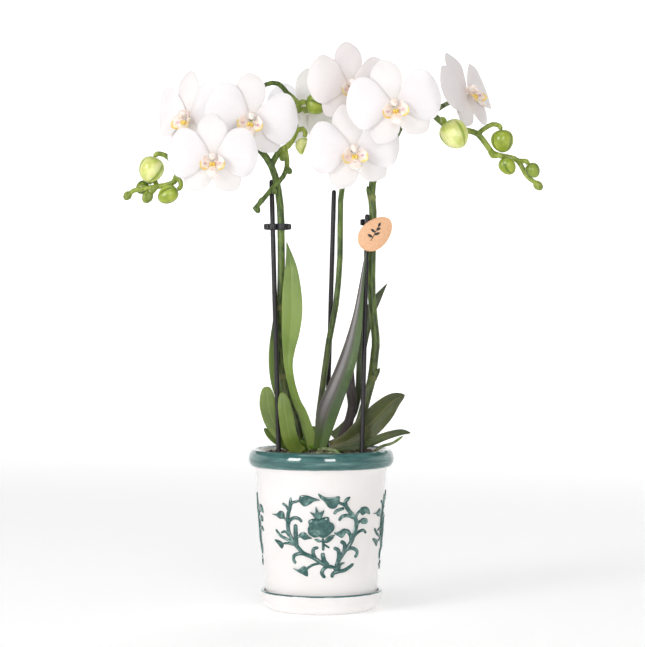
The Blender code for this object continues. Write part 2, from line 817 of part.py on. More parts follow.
def left_spike():
    """The left spike: a bent side branch with three stalks, and a long arch that carries two flowers."""
    knots = (
        (-17.5, -3, 9),
        (-18.2, -4, 24),
        (-22.8, -4, 36.4),
        (-28.8, -3, 57.5),
        (-31.2, -1.8, 80),
        (-31.4, -1.8, 103),
        (-30.3, -2.6, 133),
        (-30.3, -3.6, 163),
        (-31.0, -5, 189),
        (-34.8, -7, 211),
        (-41.5, -9, 225),
        (-53.4, -14, 236.4),
        (-68.1, -20, 238.7),
        (-86.6, -25, 229.5),
        (-99.2, -25, 218.4),
        (-106.8, -22, 214),
        (-109.9, -19, 206),
        (-117.5, -18, 203.3),
        (-123.1, -18, 202.6),
        (-128.5, -18.5, 201.5),
        (-134.5, -18.5, 200.5),
        (-140.5, -18, 199.5),
        (-144, -18, 196.5),
    )
    route = smooth_route([on_bark(knot) for knot in knots], 2)
    spike = Spike(Rod("spike_left", route, LEFT_SPIKE_RADIUS), SPIKE_TIP_RADIUS)
    tip_bud = BUDS["branch_large"]
    branch = spike.shoot(
        route[19],
        ((-32, -8, 229), (-25.1, -6, 233.6), (-20.9, -5, 240.4), (-19.1, -4, 246), (-20.5, -4, 255),
         (-19.8, -4, 261), (-16.5, -6.5, 264.8)),
        (tip_bud.base(APPROACH), tip_bud.base(STALK_GAP)),
        radius=BRANCH_RADIUS,
    )
    spike.pedicel(
        branch.at(0.68),
        ((-18.5, -5, 267), (-25.8, -7, 273.4), (-32.1, -10, 280), (-42, -13, 279), (-50, -16, 268)),
        FLOWERS["left_upper"],
    )
    spike.pedicel(branch.at(0.62), ((-14, 0, 262), (-10.7, 6, 261.5)), FLOWERS["turned_away"])
    spike.pedicel(branch.at(0.42), ((-14, -6, 246.5),), BUDS["branch_bent"])
    drooping = spike.shoot(
        branch.at(0.18),
        ((-26.2, -9, 226), (-25.8, -11, 218), (-28.7, -13.5, 210), (-34.7, -14, 204), (-42, -14, 195),
         (-50.4, -14, 185.5)),
        radius=DROOPING_RADIUS,
    )
    for share, aside, length in DROOPING_KNOBS:
        pointing = Vector((aside, 0.0, -0.8))
        middle = drooping.at(share) + pointing * length / 3
        spike.knob(middle - on_bark((0, 0, 0)), pointing, length, length * KNOB_SLENDERNESS)
    spike.pedicel(route[24], ((-74, -8, 246), (-86, 9, 254)), FLOWERS["far_left"])
    spike.pedicel(route[25], ((-80, -33, 230.5),), FLOWERS["left_front"])
    spike.pedicel(route[30], ((-112, -20, 221.5), (-117, -19, 226)), BUDS["left_large"])
    spike.pedicel(route[31], ((-105, -23.5, 206),), BUDS["left_round"])
    spike.pedicel(route[36], ((-124.5, -13, 206.5),), BUDS["left_small"])
    spike.shoot(route[36], ((-126, -19, 199), (-128.5, -19, 196)))
    spike.knob((-130.0, -19, 194.5), (-0.5, 0, -0.8), 9.5, 8.0)
    spike.knob((-145.0, -18, 195.6), (-0.6, 0, -0.8), 7.0, 6.0)
    return spike


def centre_spike():
    """The centre spike, behind the others, which carries the top flower."""
    knots = (
        (-2.5, 11, 12),
        (-2.0, 11, 27),
        (-0.5, 10.5, 40),
        (5.8, 10, 86.5),
        (11.1, 10, 114),
        (14.2, 9, 150),
        (14.6, 6, 193),
        (18, 1, 214),
        (21, -2, 240),
        (22, -4, 262),
        (20.5, -8, 276),
    )
    flower = FLOWERS["top"]
    route = smooth_route([on_bark(knot) for knot in knots], 2)
    spike = Spike(Rod("spike_centre", route, CENTRE_SPIKE_RADIUS), PEDICEL_RADIUS)
    spike.pedicel(route[-1], (), flower)
    return spike


def right_spike():
    """The right spike, which turns out to the right and carries three flowers and four large buds."""
    knots = (
        (7.0, -2, 8),
        (17, -3, 9.5),
        (25.5, -4, 17),
        (30.2, -5, 29),
        (35.2, -5.5, 47.7),
        (38, -5.5, 58),
        (40.4, -5.5, 78),
        (41, -5.5, 89),
        (38, -5.5, 120),
        (38.2, -5.5, 152),
        (38.9, -5.5, 184),
        (37.9, -5.5, 197),
        (40, -6, 212),
        (47, -8, 226),
        (55.5, -13, 240),
        (62.5, -16, 253),
        (74, -16, 258),
        (83, -14, 257.5),
        (91.3, -13, 250),
        (109.4, -15, 244.6),
        (117.6, -10, 242.3),
        (124.4, -10, 233.7),
        (129, -10, 228),
        (136, -10, 225.8),
        (145, -10, 224),
        (149.5, -10, 219.8),
        (153, -10, 213),
        (157, -10, 208.5),
        (162.5, -10, 204.8),
    )
    route = smooth_route([on_bark(knot) for knot in knots], 2)
    spike = Spike(Rod("spike_right", route, RIGHT_SPIKE_RADIUS), SPIKE_TIP_RADIUS)
    spike.pedicel(route[25], ((37, -15, 222), (29, -20, 230)), FLOWERS["middle_lower"])
    spike.pedicel(route[30], ((61, -25, 256), (56, -36, 263)), FLOWERS["middle_front"])
    spike.pedicel(route[34], ((91, -5, 263.5), (97.5, 8, 267.5)), FLOWERS["far_right"])
    spike.pedicel(route[36], ((90.5, -18, 252.5),), BUDS["right_large"])
    spike.pedicel(route[40], ((122, -11, 246), (128.5, -12, 249.5)), BUDS["right_second"])
    spike.pedicel(route[43], ((128.5, -13, 225.5),), BUDS["right_third"])
    spike.pedicel(route[49], ((150.5, -11, 222),), BUDS["right_fourth"])
    spike.knob((163, -10, 203.5), (0.7, 0, -0.7), 8.0, 6.5)
    return spike


LEAVES = {
    "tall_left": Leaf(
        "leaf_tall_left",
        [(-8, -11, 20), (-13.5, -12.5, 31), (-18.3, -14, 41), (-22.1, -15.5, 54), (-24.5, -17, 68),
         (-24.3, -17, 80), (-23, -17, 93), (-21.9, -16.5, 108), (-22, -15.5, 124), (-22.8, -14, 143),
         (-26, -13, 161.5)],
        [8, 6.6, 6, 5.3, 5.6, 8.3, 12.5, 15.2, 14.8, 10.5, 1.5],
    ),
    "back_left": Leaf(
        "leaf_back_left",
        [(-12, 9.6, 12), (-18, 10.5, 24), (-27, 10.5, 38), (-33, 10, 56), (-34.6, 10, 76),
         (-33.5, 10, 100), (-33, 10, 122)],
        [8, 9, 10, 11, 11, 7, 2],
    ),
    "short_left": Leaf(
        "leaf_short_left",
        [(-17.5, -9, 6), (-27, -6.5, 13), (-35.6, -3.5, 24), (-40, -2, 38), (-41.6, -1.5, 52)],
        [6, 9, 12, 12, 7],
        fold=0.15,
    ),
    "short_front_left": Leaf(
        "leaf_short_front_left",
        [(-15, -15, 3.4), (-20.5, -18, 8.6), (-24.1, -20.5, 17), (-26.2, -21.5, 30), (-28, -21.5, 41),
         (-29.5, -21, 48.5)],
        [8, 10.5, 11.3, 10.5, 8.5, 4],
        fold=0.15,
    ),
    "stub_left": Leaf(
        "leaf_stub_left",
        [(-16.5, 5, 4), (-28, 6.5, 8), (-37, 6.5, 14), (-43.5, 6, 20)],
        [5, 7, 7, 2],
        fold=0.1,
    ),
    "large_right": Leaf(
        "leaf_large_right",
        [(1, -12, 13), (4.8, -14.5, 33), (11.7, -17, 51), (18.2, -19, 68), (23.2, -19, 85.5),
         (27.4, -18, 107), (30.3, -17, 129), (33.6, -16, 154.5)],
        [9, 15.5, 14.6, 13.4, 10.8, 6.3, 3.4, 1.5],
        fold=0.4,
    ),
    "back_right": Leaf(
        "leaf_back_right",
        [(8.6, 6, 13.6), (17.7, 8, 22), (24.3, 9.5, 31), (27.3, 10, 41), (28.5, 10.5, 51),
         (29.2, 10.5, 64), (30.4, 10.5, 77.5), (32.8, 10.5, 94), (36.6, 10.5, 107.5),
         (42.2, 10, 118.3), (50, 10, 130)],
        [7, 6, 5, 4.5, 4.5, 5, 6.5, 8.5, 8.5, 7.5, 1.5],
    ),
    "broad_right": Leaf(
        "leaf_broad_right",
        [(6.5, -9, 8), (20, -10.5, 12), (33, -12, 21), (45, -13.5, 33), (54, -14, 42), (62.5, -14, 46.5)],
        [7, 12, 18, 18, 12, 2],
        fold=0.2,
    ),
    "thin_right": Leaf(
        "leaf_thin_right",
        [(5, -12, 4), (18, -14.2, 6.5), (33.4, -15, 9.5), (46, -15.5, 14.7), (58.8, -15.5, 18.4),
         (67, -15.5, 18)],
        [4, 5, 6, 6, 5, 2],
        fold=0.1,
    ),
    "dark_right": Leaf(
        "leaf_dark_right",
        [(4.6, 2.8, 4), (12, 4, 8), (19, 5, 20), (23.2, 5.5, 36), (22.5, 5.5, 50), (24, 5.5, 66)],
        [3, 5, 7, 6, 7, 2],
        fold=0.1,
    ),
}


def main():
    """Build the holder, the bark, the supports and the plant."""
    clear_scene()
    build_saucer()
    build_planter()
    build_grow_pot()
    build_bark(STAKES.values())
    build_moss()
    build_stakes(STAKES.values())
    stem_green = finish("stem_green", (0.16, 0.2, 0.06), 0.45)
    leaf_green = finish("leaf_green", (0.2, 0.28, 0.08), 0.45)
    build_crown(leaf_green)
    for leaf in LEAVES.values():
        build_leaf(leaf, leaf_green)
    root_green = finish("root", (0.3, 0.33, 0.16), 0.6)
    arch = [(38, -7, 1.8), (42, -7.5, 4.8), (46, -8, 7.5), (54, -8, 10), (61.5, -8, 15)]
    build_root("root_arching", arch, 1.3, root_green)
    stub = [(-2, -11, 4), (3, -15.5, 5.5), (9, -19, 5), (14, -22, 2.6)]
    build_root("root_stub", stub, 2.0, root_green)
    spikes = left_spike(), centre_spike(), right_spike()
    for spike in spikes:
        spike.build(stem_green)
    black = finish("clip_plastic", (0.02, 0.02, 0.02), 0.35)
    build_clip("clip_left", STAKES["left"], spikes[0].stem, LEFT_CLIP_RISE, black)
    front = build_clip("clip_right", STAKES["right"], spikes[2].stem, RIGHT_CLIP_RISE, black)
    build_tag(spikes[2].stem, front)
    white = finish("petal_white", (0.9, 0.88, 0.87), 0.5)
    lip_finish = finish("lip", (0.75, 0.5, 0.3), 0.45)
    for flower in FLOWERS.values():
        build_flower(flower, white, lip_finish)
    bud_green = finish("bud_green", (0.7, 0.75, 0.35), 0.4)
    for bud in BUDS.values():
        add_object(bud.name, bud.form(), bud_green)


main()
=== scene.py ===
"""A potted moth orchid: glazed planter on its saucer, bark, strap leaves, staked spikes, buds and open flowers.

Lengths inside the classes are in millimetres. Clay turns them into metres when a piece is cast.
"""

from __future__ import annotations

import json
import logging
import math
import sys
from dataclasses import dataclass, field
from enum import Enum

import bmesh
import bpy
import numpy as np
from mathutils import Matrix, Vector

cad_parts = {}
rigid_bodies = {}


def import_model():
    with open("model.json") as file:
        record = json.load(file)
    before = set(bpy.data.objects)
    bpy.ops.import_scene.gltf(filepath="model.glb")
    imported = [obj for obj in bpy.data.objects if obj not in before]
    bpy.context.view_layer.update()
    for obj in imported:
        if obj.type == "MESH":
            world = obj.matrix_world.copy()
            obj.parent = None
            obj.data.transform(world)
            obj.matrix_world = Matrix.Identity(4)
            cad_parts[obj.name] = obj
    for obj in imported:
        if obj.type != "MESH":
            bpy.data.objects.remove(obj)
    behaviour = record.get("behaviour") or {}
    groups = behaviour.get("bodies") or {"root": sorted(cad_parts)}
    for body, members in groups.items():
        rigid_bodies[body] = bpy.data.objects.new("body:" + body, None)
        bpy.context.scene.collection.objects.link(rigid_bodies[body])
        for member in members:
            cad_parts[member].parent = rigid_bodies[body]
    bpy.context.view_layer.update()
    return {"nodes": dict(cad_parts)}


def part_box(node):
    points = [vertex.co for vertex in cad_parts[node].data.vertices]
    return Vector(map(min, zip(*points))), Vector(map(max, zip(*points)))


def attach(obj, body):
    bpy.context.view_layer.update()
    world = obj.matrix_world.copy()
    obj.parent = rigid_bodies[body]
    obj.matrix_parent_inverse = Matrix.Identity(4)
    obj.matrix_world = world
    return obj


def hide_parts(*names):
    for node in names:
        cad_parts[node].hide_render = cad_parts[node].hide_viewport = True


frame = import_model()

MM = 0.001
BODY = "root"
Array = np.ndarray
Colour = tuple[float, float, float, float]
Pair = tuple[float, float]
Point = tuple[float, float, float]
log = logging.getLogger("orchid")


# ---------------------------------------------------------------- plain helpers


def tint(red: float, green: float, blue: float) -> Colour:
    """A colour from a swatch card's 0 to 255 steps, made linear for the shaders.

    Args:
        red: Step of red on the card.
        green: Step of green.
        blue: Step of blue.

    Returns:
        The linear colour with full opacity.
    """
    parts = []
    for step in (red, green, blue):
        share = step / 255
        parts.append(share / 12.92 if share <= 0.04045 else ((share + 0.055) / 1.055) ** 2.4)
    return (parts[0], parts[1], parts[2], 1.0)


def corners_of(mesh: bpy.types.Mesh) -> Array:
    """A mesh's corners in millimetres."""
    flat = np.empty(len(mesh.vertices) * 3)
    mesh.vertices.foreach_get("co", flat)
    return flat.reshape(-1, 3) / MM


def set_mark(mesh: bpy.types.Mesh, name: str, values: Array | list[float]) -> None:
    """Store a number for each corner of a mesh under a name that a finish or a recipe reads."""
    layer = mesh.attributes.get(name) or mesh.attributes.new(name, "FLOAT", "POINT")
    layer.data.foreach_set("value", np.asarray(values, np.float32))


def put(name: str, data: bpy.types.ID) -> bpy.types.Object:
    """A new object in the scene, at the origin."""
    made = bpy.data.objects.new(name, data)
    bpy.context.scene.collection.objects.link(made)
    return made


def solid_points(node: str) -> Array:
    """The corners of one CAD solid in millimetres, each only once.

    Args:
        node: Name of the CAD node.

    Returns:
        An array of corners.
    """
    return np.unique(np.round(corners_of(frame["nodes"][node].data), 3), axis=0)


def solid_box(node: str) -> tuple[Array, Array]:
    """Lowest and highest corner of a CAD solid in millimetres."""
    low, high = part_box(node)
    return np.array(low) / MM, np.array(high) / MM


def through(knots: Array | list, shares: Array) -> Array:
    """Values of a smooth curve through evenly spaced knots.

    Args:
        knots: One row or number for each knot.
        shares: How far along the curve each wanted value is, 0 to 1.

    Returns:
        One row or number for each share.
    """
    table = np.asarray(knots, float)
    padded = np.concatenate([[2 * table[0] - table[1]], table, [2 * table[-1] - table[-2]]])
    place = np.clip(shares, 0, 1) * (len(table) - 1)
    index = np.clip(np.floor(place).astype(int), 0, len(table) - 2)
    part = place - index
    if table.ndim > 1:
        part = part[:, None]
    before, start, stop, after = (padded[index + step] for step in range(4))
    return 0.5 * (
        2 * start
        + (stop - before) * part
        + (2 * before - 5 * start + 4 * stop - after) * part**2
        + (3 * start - before - 3 * stop + after) * part**3
    )


def unit(vectors: Array) -> Array:
    """The vectors at length one."""
    length = np.linalg.norm(vectors, axis=-1, keepdims=True)
    return vectors / np.maximum(length, 1e-9)


def rise(values: Array, low: float, high: float) -> Array:
    """A smooth step from 0 at low to 1 at high."""
    share = np.clip((values - low) / (high - low), 0, 1)
    return share * share * (3 - 2 * share)


def arc(start: float, stop: float, count: int, centre: Pair, reach: Pair) -> list[Pair]:
    """Points of an outline on part of an ellipse.

    Args:
        start: First angle in degrees, from outwards towards up.
        stop: Last angle.
        count: How many points.
        centre: Radius and height of the ellipse's middle.
        reach: Half its width and half its height.

    Returns:
        Rows of radius and height.
    """
    turns = np.radians(np.linspace(start, stop, count))
    return [(centre[0] + reach[0] * math.cos(turn), centre[1] + reach[1] * math.sin(turn)) for turn in turns]


def ring_faces(rows: int, columns: int) -> list[tuple[int, ...]]:
    """The squares between neighbouring rings of corners.

    Args:
        rows: How many rings.
        columns: Corners in each.

    Returns:
        Four corner numbers for each square.
    """
    faces = []
    for row in range(rows - 1):
        low, high = row * columns, (row + 1) * columns
        for column in range(columns):
            after = (column + 1) % columns
            faces.append((low + column, low + after, high + after, high + column))
    return faces


def grid_shares(rows: int, columns: int) -> Array:
    """How far along and across a grid each of its corners is, 0 to 1."""
    shares = np.meshgrid(np.linspace(0, 1, rows), np.linspace(0, 1, columns), indexing="ij")
    return np.stack(shares, -1).reshape(-1, 2)


# ---------------------------------------------------------------- clay: meshes in the making


class Clay:
    """Corners, faces and marks of one piece while it is being shaped."""

    def __init__(self) -> None:
        """Start with nothing."""
        self.points: list[Array] = []
        self.faces: list[tuple[int, ...]] = []
        self.uvs: list[Array] = []
        self.marks: dict[str, list[Array]] = {}
        self.count = 0

    def add(self, points: Array, faces: list, uvs: Array | None = None, **marks: Array | float) -> None:
        """Add a part.

        Args:
            points: Corners in millimetres.
            faces: Corner numbers of each face, counted within this part.
            uvs: Two coordinates for each corner, for patterns that follow the surface.
            **marks: A number for each corner, or one for all, that the finish reads by name.
        """
        size = len(points)
        for name in set(self.marks) | set(marks):
            held = self.marks.setdefault(name, [np.zeros(self.count)] if self.count else [])
            held.append(np.broadcast_to(np.asarray(marks.get(name, 0.0), float).reshape(-1), (size,)))
        self.points.append(points)
        self.uvs.append(np.zeros((size, 2)) if uvs is None else uvs)
        self.faces += [tuple(int(corner) + self.count for corner in face) for face in faces]
        self.count += size

    def add_tube(self, rings: Array) -> None:
        """Add rings of corners joined into a tube with open ends."""
        self.add(rings.reshape(-1, 3), ring_faces(*rings.shape[:2]))

    def add_rod(self, rings: Array, **marks: Array | float) -> None:
        """Add rings of corners joined into a tube with closed ends.

        Args:
            rings: Corners as rows of rings.
            **marks: As for add.
        """
        rows, columns = rings.shape[:2]
        caps = [tuple(reversed(range(columns))), tuple(range((rows - 1) * columns, rows * columns))]
        self.add(rings.reshape(-1, 3), ring_faces(rows, columns) + caps, grid_shares(rows, columns), **marks)

    def add_skin(self, middle: Array, thickness: Array, **marks: Array | float) -> None:
        """Add a thin closed body on both sides of a sheet.

        Args:
            middle: The sheet's corners as rows (along) and columns (across).
            thickness: Its thickness at each corner.
            **marks: As for add, with one number for each corner of the sheet.
        """
        rows, columns = middle.shape[:2]
        along = np.gradient(middle, axis=0)
        across = np.gradient(middle, axis=1)
        half = unit(np.cross(along, across)) * thickness[..., None] / 2
        number = np.arange(rows * columns).reshape(rows, columns)
        size = rows * columns
        a, b, c, d = number[:-1, :-1], number[1:, :-1], number[1:, 1:], number[:-1, 1:]
        front = np.stack([a, b, c, d], -1).reshape(-1, 4)
        faces = front.tolist() + (front[:, ::-1] + size).tolist()
        border = np.concatenate(
            [number[:-1, 0], number[-1, :-1], number[:0:-1, -1], number[0, :0:-1]]
        )
        following = np.roll(border, -1)
        faces += np.stack([border + size, following + size, following, border], -1).tolist()
        uvs = grid_shares(rows, columns)
        full = {"back": np.repeat([0.0, 1.0], size)}
        for name, value in marks.items():
            value = np.asarray(value, float)
            full[name] = np.tile(value.reshape(-1), 2) if value.size > 1 else float(value)
        points = np.concatenate([(middle + half).reshape(-1, 3), (middle - half).reshape(-1, 3)])
        self.add(points, faces, np.concatenate([uvs, uvs]), **full)

    def cast(self, name: str, material: bpy.types.Material) -> bpy.types.Object:
        """Make the mesh object, in metres.

        Args:
            name: Name of the piece.
            material: Its finish.

        Returns:
            The new object, at the origin.
        """
        mesh = bpy.data.meshes.new(name)
        points = np.concatenate(self.points) * MM
        mesh.from_pydata(points.tolist(), [], self.faces)
        uvs = np.concatenate(self.uvs)
        corners = np.empty(len(mesh.loops), int)
        mesh.loops.foreach_get("vertex_index", corners)
        mesh.uv_layers.new(name="flow").data.foreach_set("uv", uvs[corners].reshape(-1).astype(np.float32))
        for label, parts in self.marks.items():
            set_mark(mesh, label, np.concatenate(parts))
        mesh.update()
        mesh.shade_smooth()
        mesh.materials.append(material)
        return put(name, mesh)

    def deliver(
        self, name: str, material: bpy.types.Material, slot: str, *nodes: str, clean: bool = True
    ) -> None:
        """Cast the piece, clean its mesh if asked to, and deliver it.

        Args:
            name: Name of the piece.
            material: Its finish.
            slot: The record's material slot.
            *nodes: The CAD nodes that it stands for.
            clean: Whether doubled corners are merged and faces pointed outwards.
        """
        piece = self.cast(name, material)
        if clean:
            tidy_mesh(piece)
        deliver(piece, slot, *nodes)


def rod_grid(route: Array, radii: Array, sides: int) -> Array:
    """Rings of corners round a route.

    Args:
        route: The points that the rod follows.
        radii: One radius for each point.
        sides: Corners in each ring.

    Returns:
        Rows of rings, ready for add_rod.
    """
    ways = unit(np.gradient(route, axis=0))
    first = np.array([0.0, 1.0, 0.0]) if abs(ways[0][1]) < 0.8 else np.array([1.0, 0.0, 0.0])
    rings = []
    angles = np.linspace(0, math.tau, sides, endpoint=False)
    for point, way, radius in zip(route, ways, radii):
        first = unit(first - way * first.dot(way))
        second = np.cross(way, first)
        ring = np.cos(angles)[:, None] * first + np.sin(angles)[:, None] * second
        rings.append(point + ring * radius)
    return np.array(rings)


def lathe_grid(profile: Array, sides: int) -> Array:
    """Rings of corners about +Z from an outline of (radius, height) rows that runs upwards outside."""
    angles = np.linspace(0, math.tau, sides, endpoint=False)
    radius, height = profile[:, :1], profile[:, 1:]
    return np.stack(
        [radius * np.cos(angles), radius * np.sin(angles), np.repeat(height, sides, axis=1)], -1
    )


def rounded(profile: list[tuple[float, float, float]], steps: int = 4) -> Array:
    """An outline whose corners are rounded.

    Args:
        profile: Corners as radius, height and how far the rounding starts from the corner.
        steps: Straight pieces in each rounding.

    Returns:
        Rows of radius and height.
    """
    rows: list[Array] = []
    count = len(profile)
    for index, (radius, height, room) in enumerate(profile):
        corner = np.array([radius, height])
        if room <= 0 or index in (0, count - 1):
            rows.append(corner)
            continue
        before = np.array(profile[index - 1][:2]) - corner
        after = np.array(profile[index + 1][:2]) - corner
        start = corner + before / np.linalg.norm(before) * room
        stop = corner + after / np.linalg.norm(after) * room
        for step in range(steps + 1):
            share = step / steps
            rows.append((1 - share) ** 2 * start + 2 * share * (1 - share) * corner + share**2 * stop)
    return np.array(rows)


def tidy_mesh(piece: bpy.types.Object, merge: float = 1e-6) -> None:
    """Merge doubled corners of a piece and point its faces outwards.

    Args:
        piece: The piece.
        merge: How near doubled corners are, in metres.
    """
    form = bmesh.new()
    form.from_mesh(piece.data)
    bmesh.ops.remove_doubles(form, verts=form.verts, dist=merge)
    bmesh.ops.recalc_face_normals(form, faces=form.faces)
    form.to_mesh(piece.data)
    form.free()
    piece.data.shade_smooth()


def settle(piece: bpy.types.Object) -> None:
    """Turn a piece's modifiers into plain mesh and take them off."""
    graph = bpy.context.evaluated_depsgraph_get()
    mesh = bpy.data.meshes.new_from_object(piece.evaluated_get(graph), depsgraph=graph)
    piece.modifiers.clear()
    old = piece.data
    piece.data = mesh
    mesh.name = piece.name
    bpy.data.meshes.remove(old)


# ---------------------------------------------------------------- benches: node trees


class Wire:
    """The value on one node socket, with arithmetic that lays Math nodes."""

    def __init__(self, bench: "Bench", socket: bpy.types.NodeSocket) -> None:
        """Hold a socket and the bench that its node lies on."""
        self.bench = bench
        self.socket = socket

    def math(self, operation: str, *others: "Wire | float") -> "Wire":
        """A Math node that starts with this value."""
        return self.bench.sum_of(operation, self, *others)

    def __add__(self, other: "Wire | float") -> "Wire":
        """Sum."""
        return self.math("ADD", other)

    __radd__ = __add__

    def __mul__(self, other: "Wire | float") -> "Wire":
        """Product."""
        return self.math("MULTIPLY", other)

    __rmul__ = __mul__

    def __sub__(self, other: "Wire | float") -> "Wire":
        """Difference."""
        return self.math("SUBTRACT", other)

    def __rsub__(self, other: "Wire | float") -> "Wire":
        """Difference from a number."""
        return self.bench.sum_of("SUBTRACT", other, self)

    def __abs__(self) -> "Wire":
        """Size without sign."""
        return self.math("ABSOLUTE")

    def over(self, low: float, high: float) -> "Wire":
        """A smooth step from 0 at low to 1 at high."""
        return self.bench.node(
            "ShaderNodeMapRange",
            {"interpolation_type": "SMOOTHSTEP"},
            {"Value": self, "From Min": low, "From Max": high},
        )

    def parts(self) -> tuple["Wire", "Wire", "Wire"]:
        """The three parts of a vector."""
        split = self.bench.node("ShaderNodeSeparateXYZ", {}, {0: self}).socket.node
        return tuple(Wire(self.bench, socket) for socket in split.outputs)


class Bench:
    """A node tree on which nodes are laid and joined."""

    def __init__(self, tree: bpy.types.NodeTree) -> None:
        """Hold the tree."""
        self.tree = tree

    def node(self, kind: str, settings: dict, inputs: dict, output: int | str = 0) -> Wire:
        """Lay one node.

        Args:
            kind: Blender's type of the node.
            settings: Its own settings, such as an operation, or a ramp's stops.
            inputs: A value or a wire for each socket, by name or number.
            output: The output that the returned wire holds.

        Returns:
            The wire on the output.
        """
        made = self.tree.nodes.new(kind)
        for name, value in settings.items():
            if name == "stops":
                self.set_stops(made.color_ramp, value)
            else:
                setattr(made, name, value)
        for key, value in inputs.items():
            if isinstance(value, Wire):
                self.tree.links.new(value.socket, made.inputs[key])
            else:
                made.inputs[key].default_value = value
        return Wire(self, made.outputs[output])

    @staticmethod
    def set_stops(ramp: bpy.types.ColorRamp, stops: list[tuple[float, Colour]]) -> None:
        """Give a colour ramp its stops."""
        while len(ramp.elements) > 1:
            ramp.elements.remove(ramp.elements[-1])
        ramp.elements[0].position, ramp.elements[0].color = stops[0]
        for place, colour in stops[1:]:
            ramp.elements.new(place).color = colour

    def sum_of(self, operation: str, *values: Wire | float) -> Wire:
        """A Math node on some values."""
        return self.node("ShaderNodeMath", {"operation": operation}, dict(enumerate(values)))


class Finish(Bench):
    """A material on a bench, from its patterns to its Principled shader."""

    def __init__(self, name: str) -> None:
        """Start an empty material."""
        self.material = bpy.data.materials.new(name)
        self.material.use_nodes = True
        super().__init__(self.material.node_tree)
        self.tree.nodes.clear()

    def place(self) -> Wire:
        """Where a point is on the object."""
        return self.node("ShaderNodeTexCoord", {}, {}, "Object")

    def flow(self) -> Wire:
        """Where a point is along and across its own surface."""
        return self.node("ShaderNodeTexCoord", {}, {}, "UV")

    def mark(self, name: str) -> Wire:
        """A number that the mesh carries."""
        return self.node("ShaderNodeAttribute", {"attribute_name": name}, {}, "Fac")

    def stretched(self, vector: Wire, scale: Point) -> Wire:
        """A vector scaled along each axis."""
        return self.node("ShaderNodeMapping", {}, {"Vector": vector, "Scale": scale})

    def noise(self, vector: Wire, scale: float, detail: float) -> Wire:
        """Soft noise from about 0.3 to 0.7."""
        return self.node("ShaderNodeTexNoise", {}, {"Vector": vector, "Scale": scale, "Detail": detail})

    def strands(self, along: Wire, across: Wire, scale: float, detail: float) -> Wire:
        """Noise drawn out along a surface, from its scaled shares along and across."""
        vector = self.node("ShaderNodeCombineXYZ", {}, {0: along, 1: across})
        return self.noise(vector, scale, detail)

    def cells(self, vector: Wire, scale: float) -> Wire:
        """Distance to the middle of the nearest random cell."""
        return self.node("ShaderNodeTexVoronoi", {}, {"Vector": vector, "Scale": scale}, "Distance")

    def mix(self, share: Wire | float, first: Wire | Colour, second: Wire | Colour) -> Wire:
        """A colour between two colours."""
        return self.node("ShaderNodeMix", {"data_type": "RGBA"}, {0: share, 6: first, 7: second}, 2)

    def ramp(self, value: Wire, stops: list[tuple[float, Colour]]) -> Wire:
        """A colour that a value picks from a ramp."""
        return self.node("ShaderNodeValToRGB", {"stops": stops}, {0: value})

    def bump(self, height: Wire, depth: float, under: Wire | None = None) -> Wire:
        """A normal bent by a height.

        Args:
            height: The height, 0 to 1.
            depth: How deep 1 is, in millimetres.
            under: A normal to build on.

        Returns:
            The bent normal.
        """
        inputs: dict = {"Height": height, "Distance": depth * MM, "Strength": 1.0}
        if under is not None:
            inputs["Normal"] = under
        return self.node("ShaderNodeBump", {}, inputs)

    def done(self, **inputs: Wire | float | Colour) -> bpy.types.Material:
        """Close the material with a Principled shader.

        Args:
            **inputs: Its sockets, with _ for each space in their names.

        Returns:
            The finished material.
        """
        named = {key.replace("_", " "): value for key, value in inputs.items()}
        shader = self.node("ShaderNodeBsdfPrincipled", {}, named)
        end = self.tree.nodes.new("ShaderNodeOutputMaterial")
        self.tree.links.new(shader.socket, end.inputs["Surface"])
        return self.material


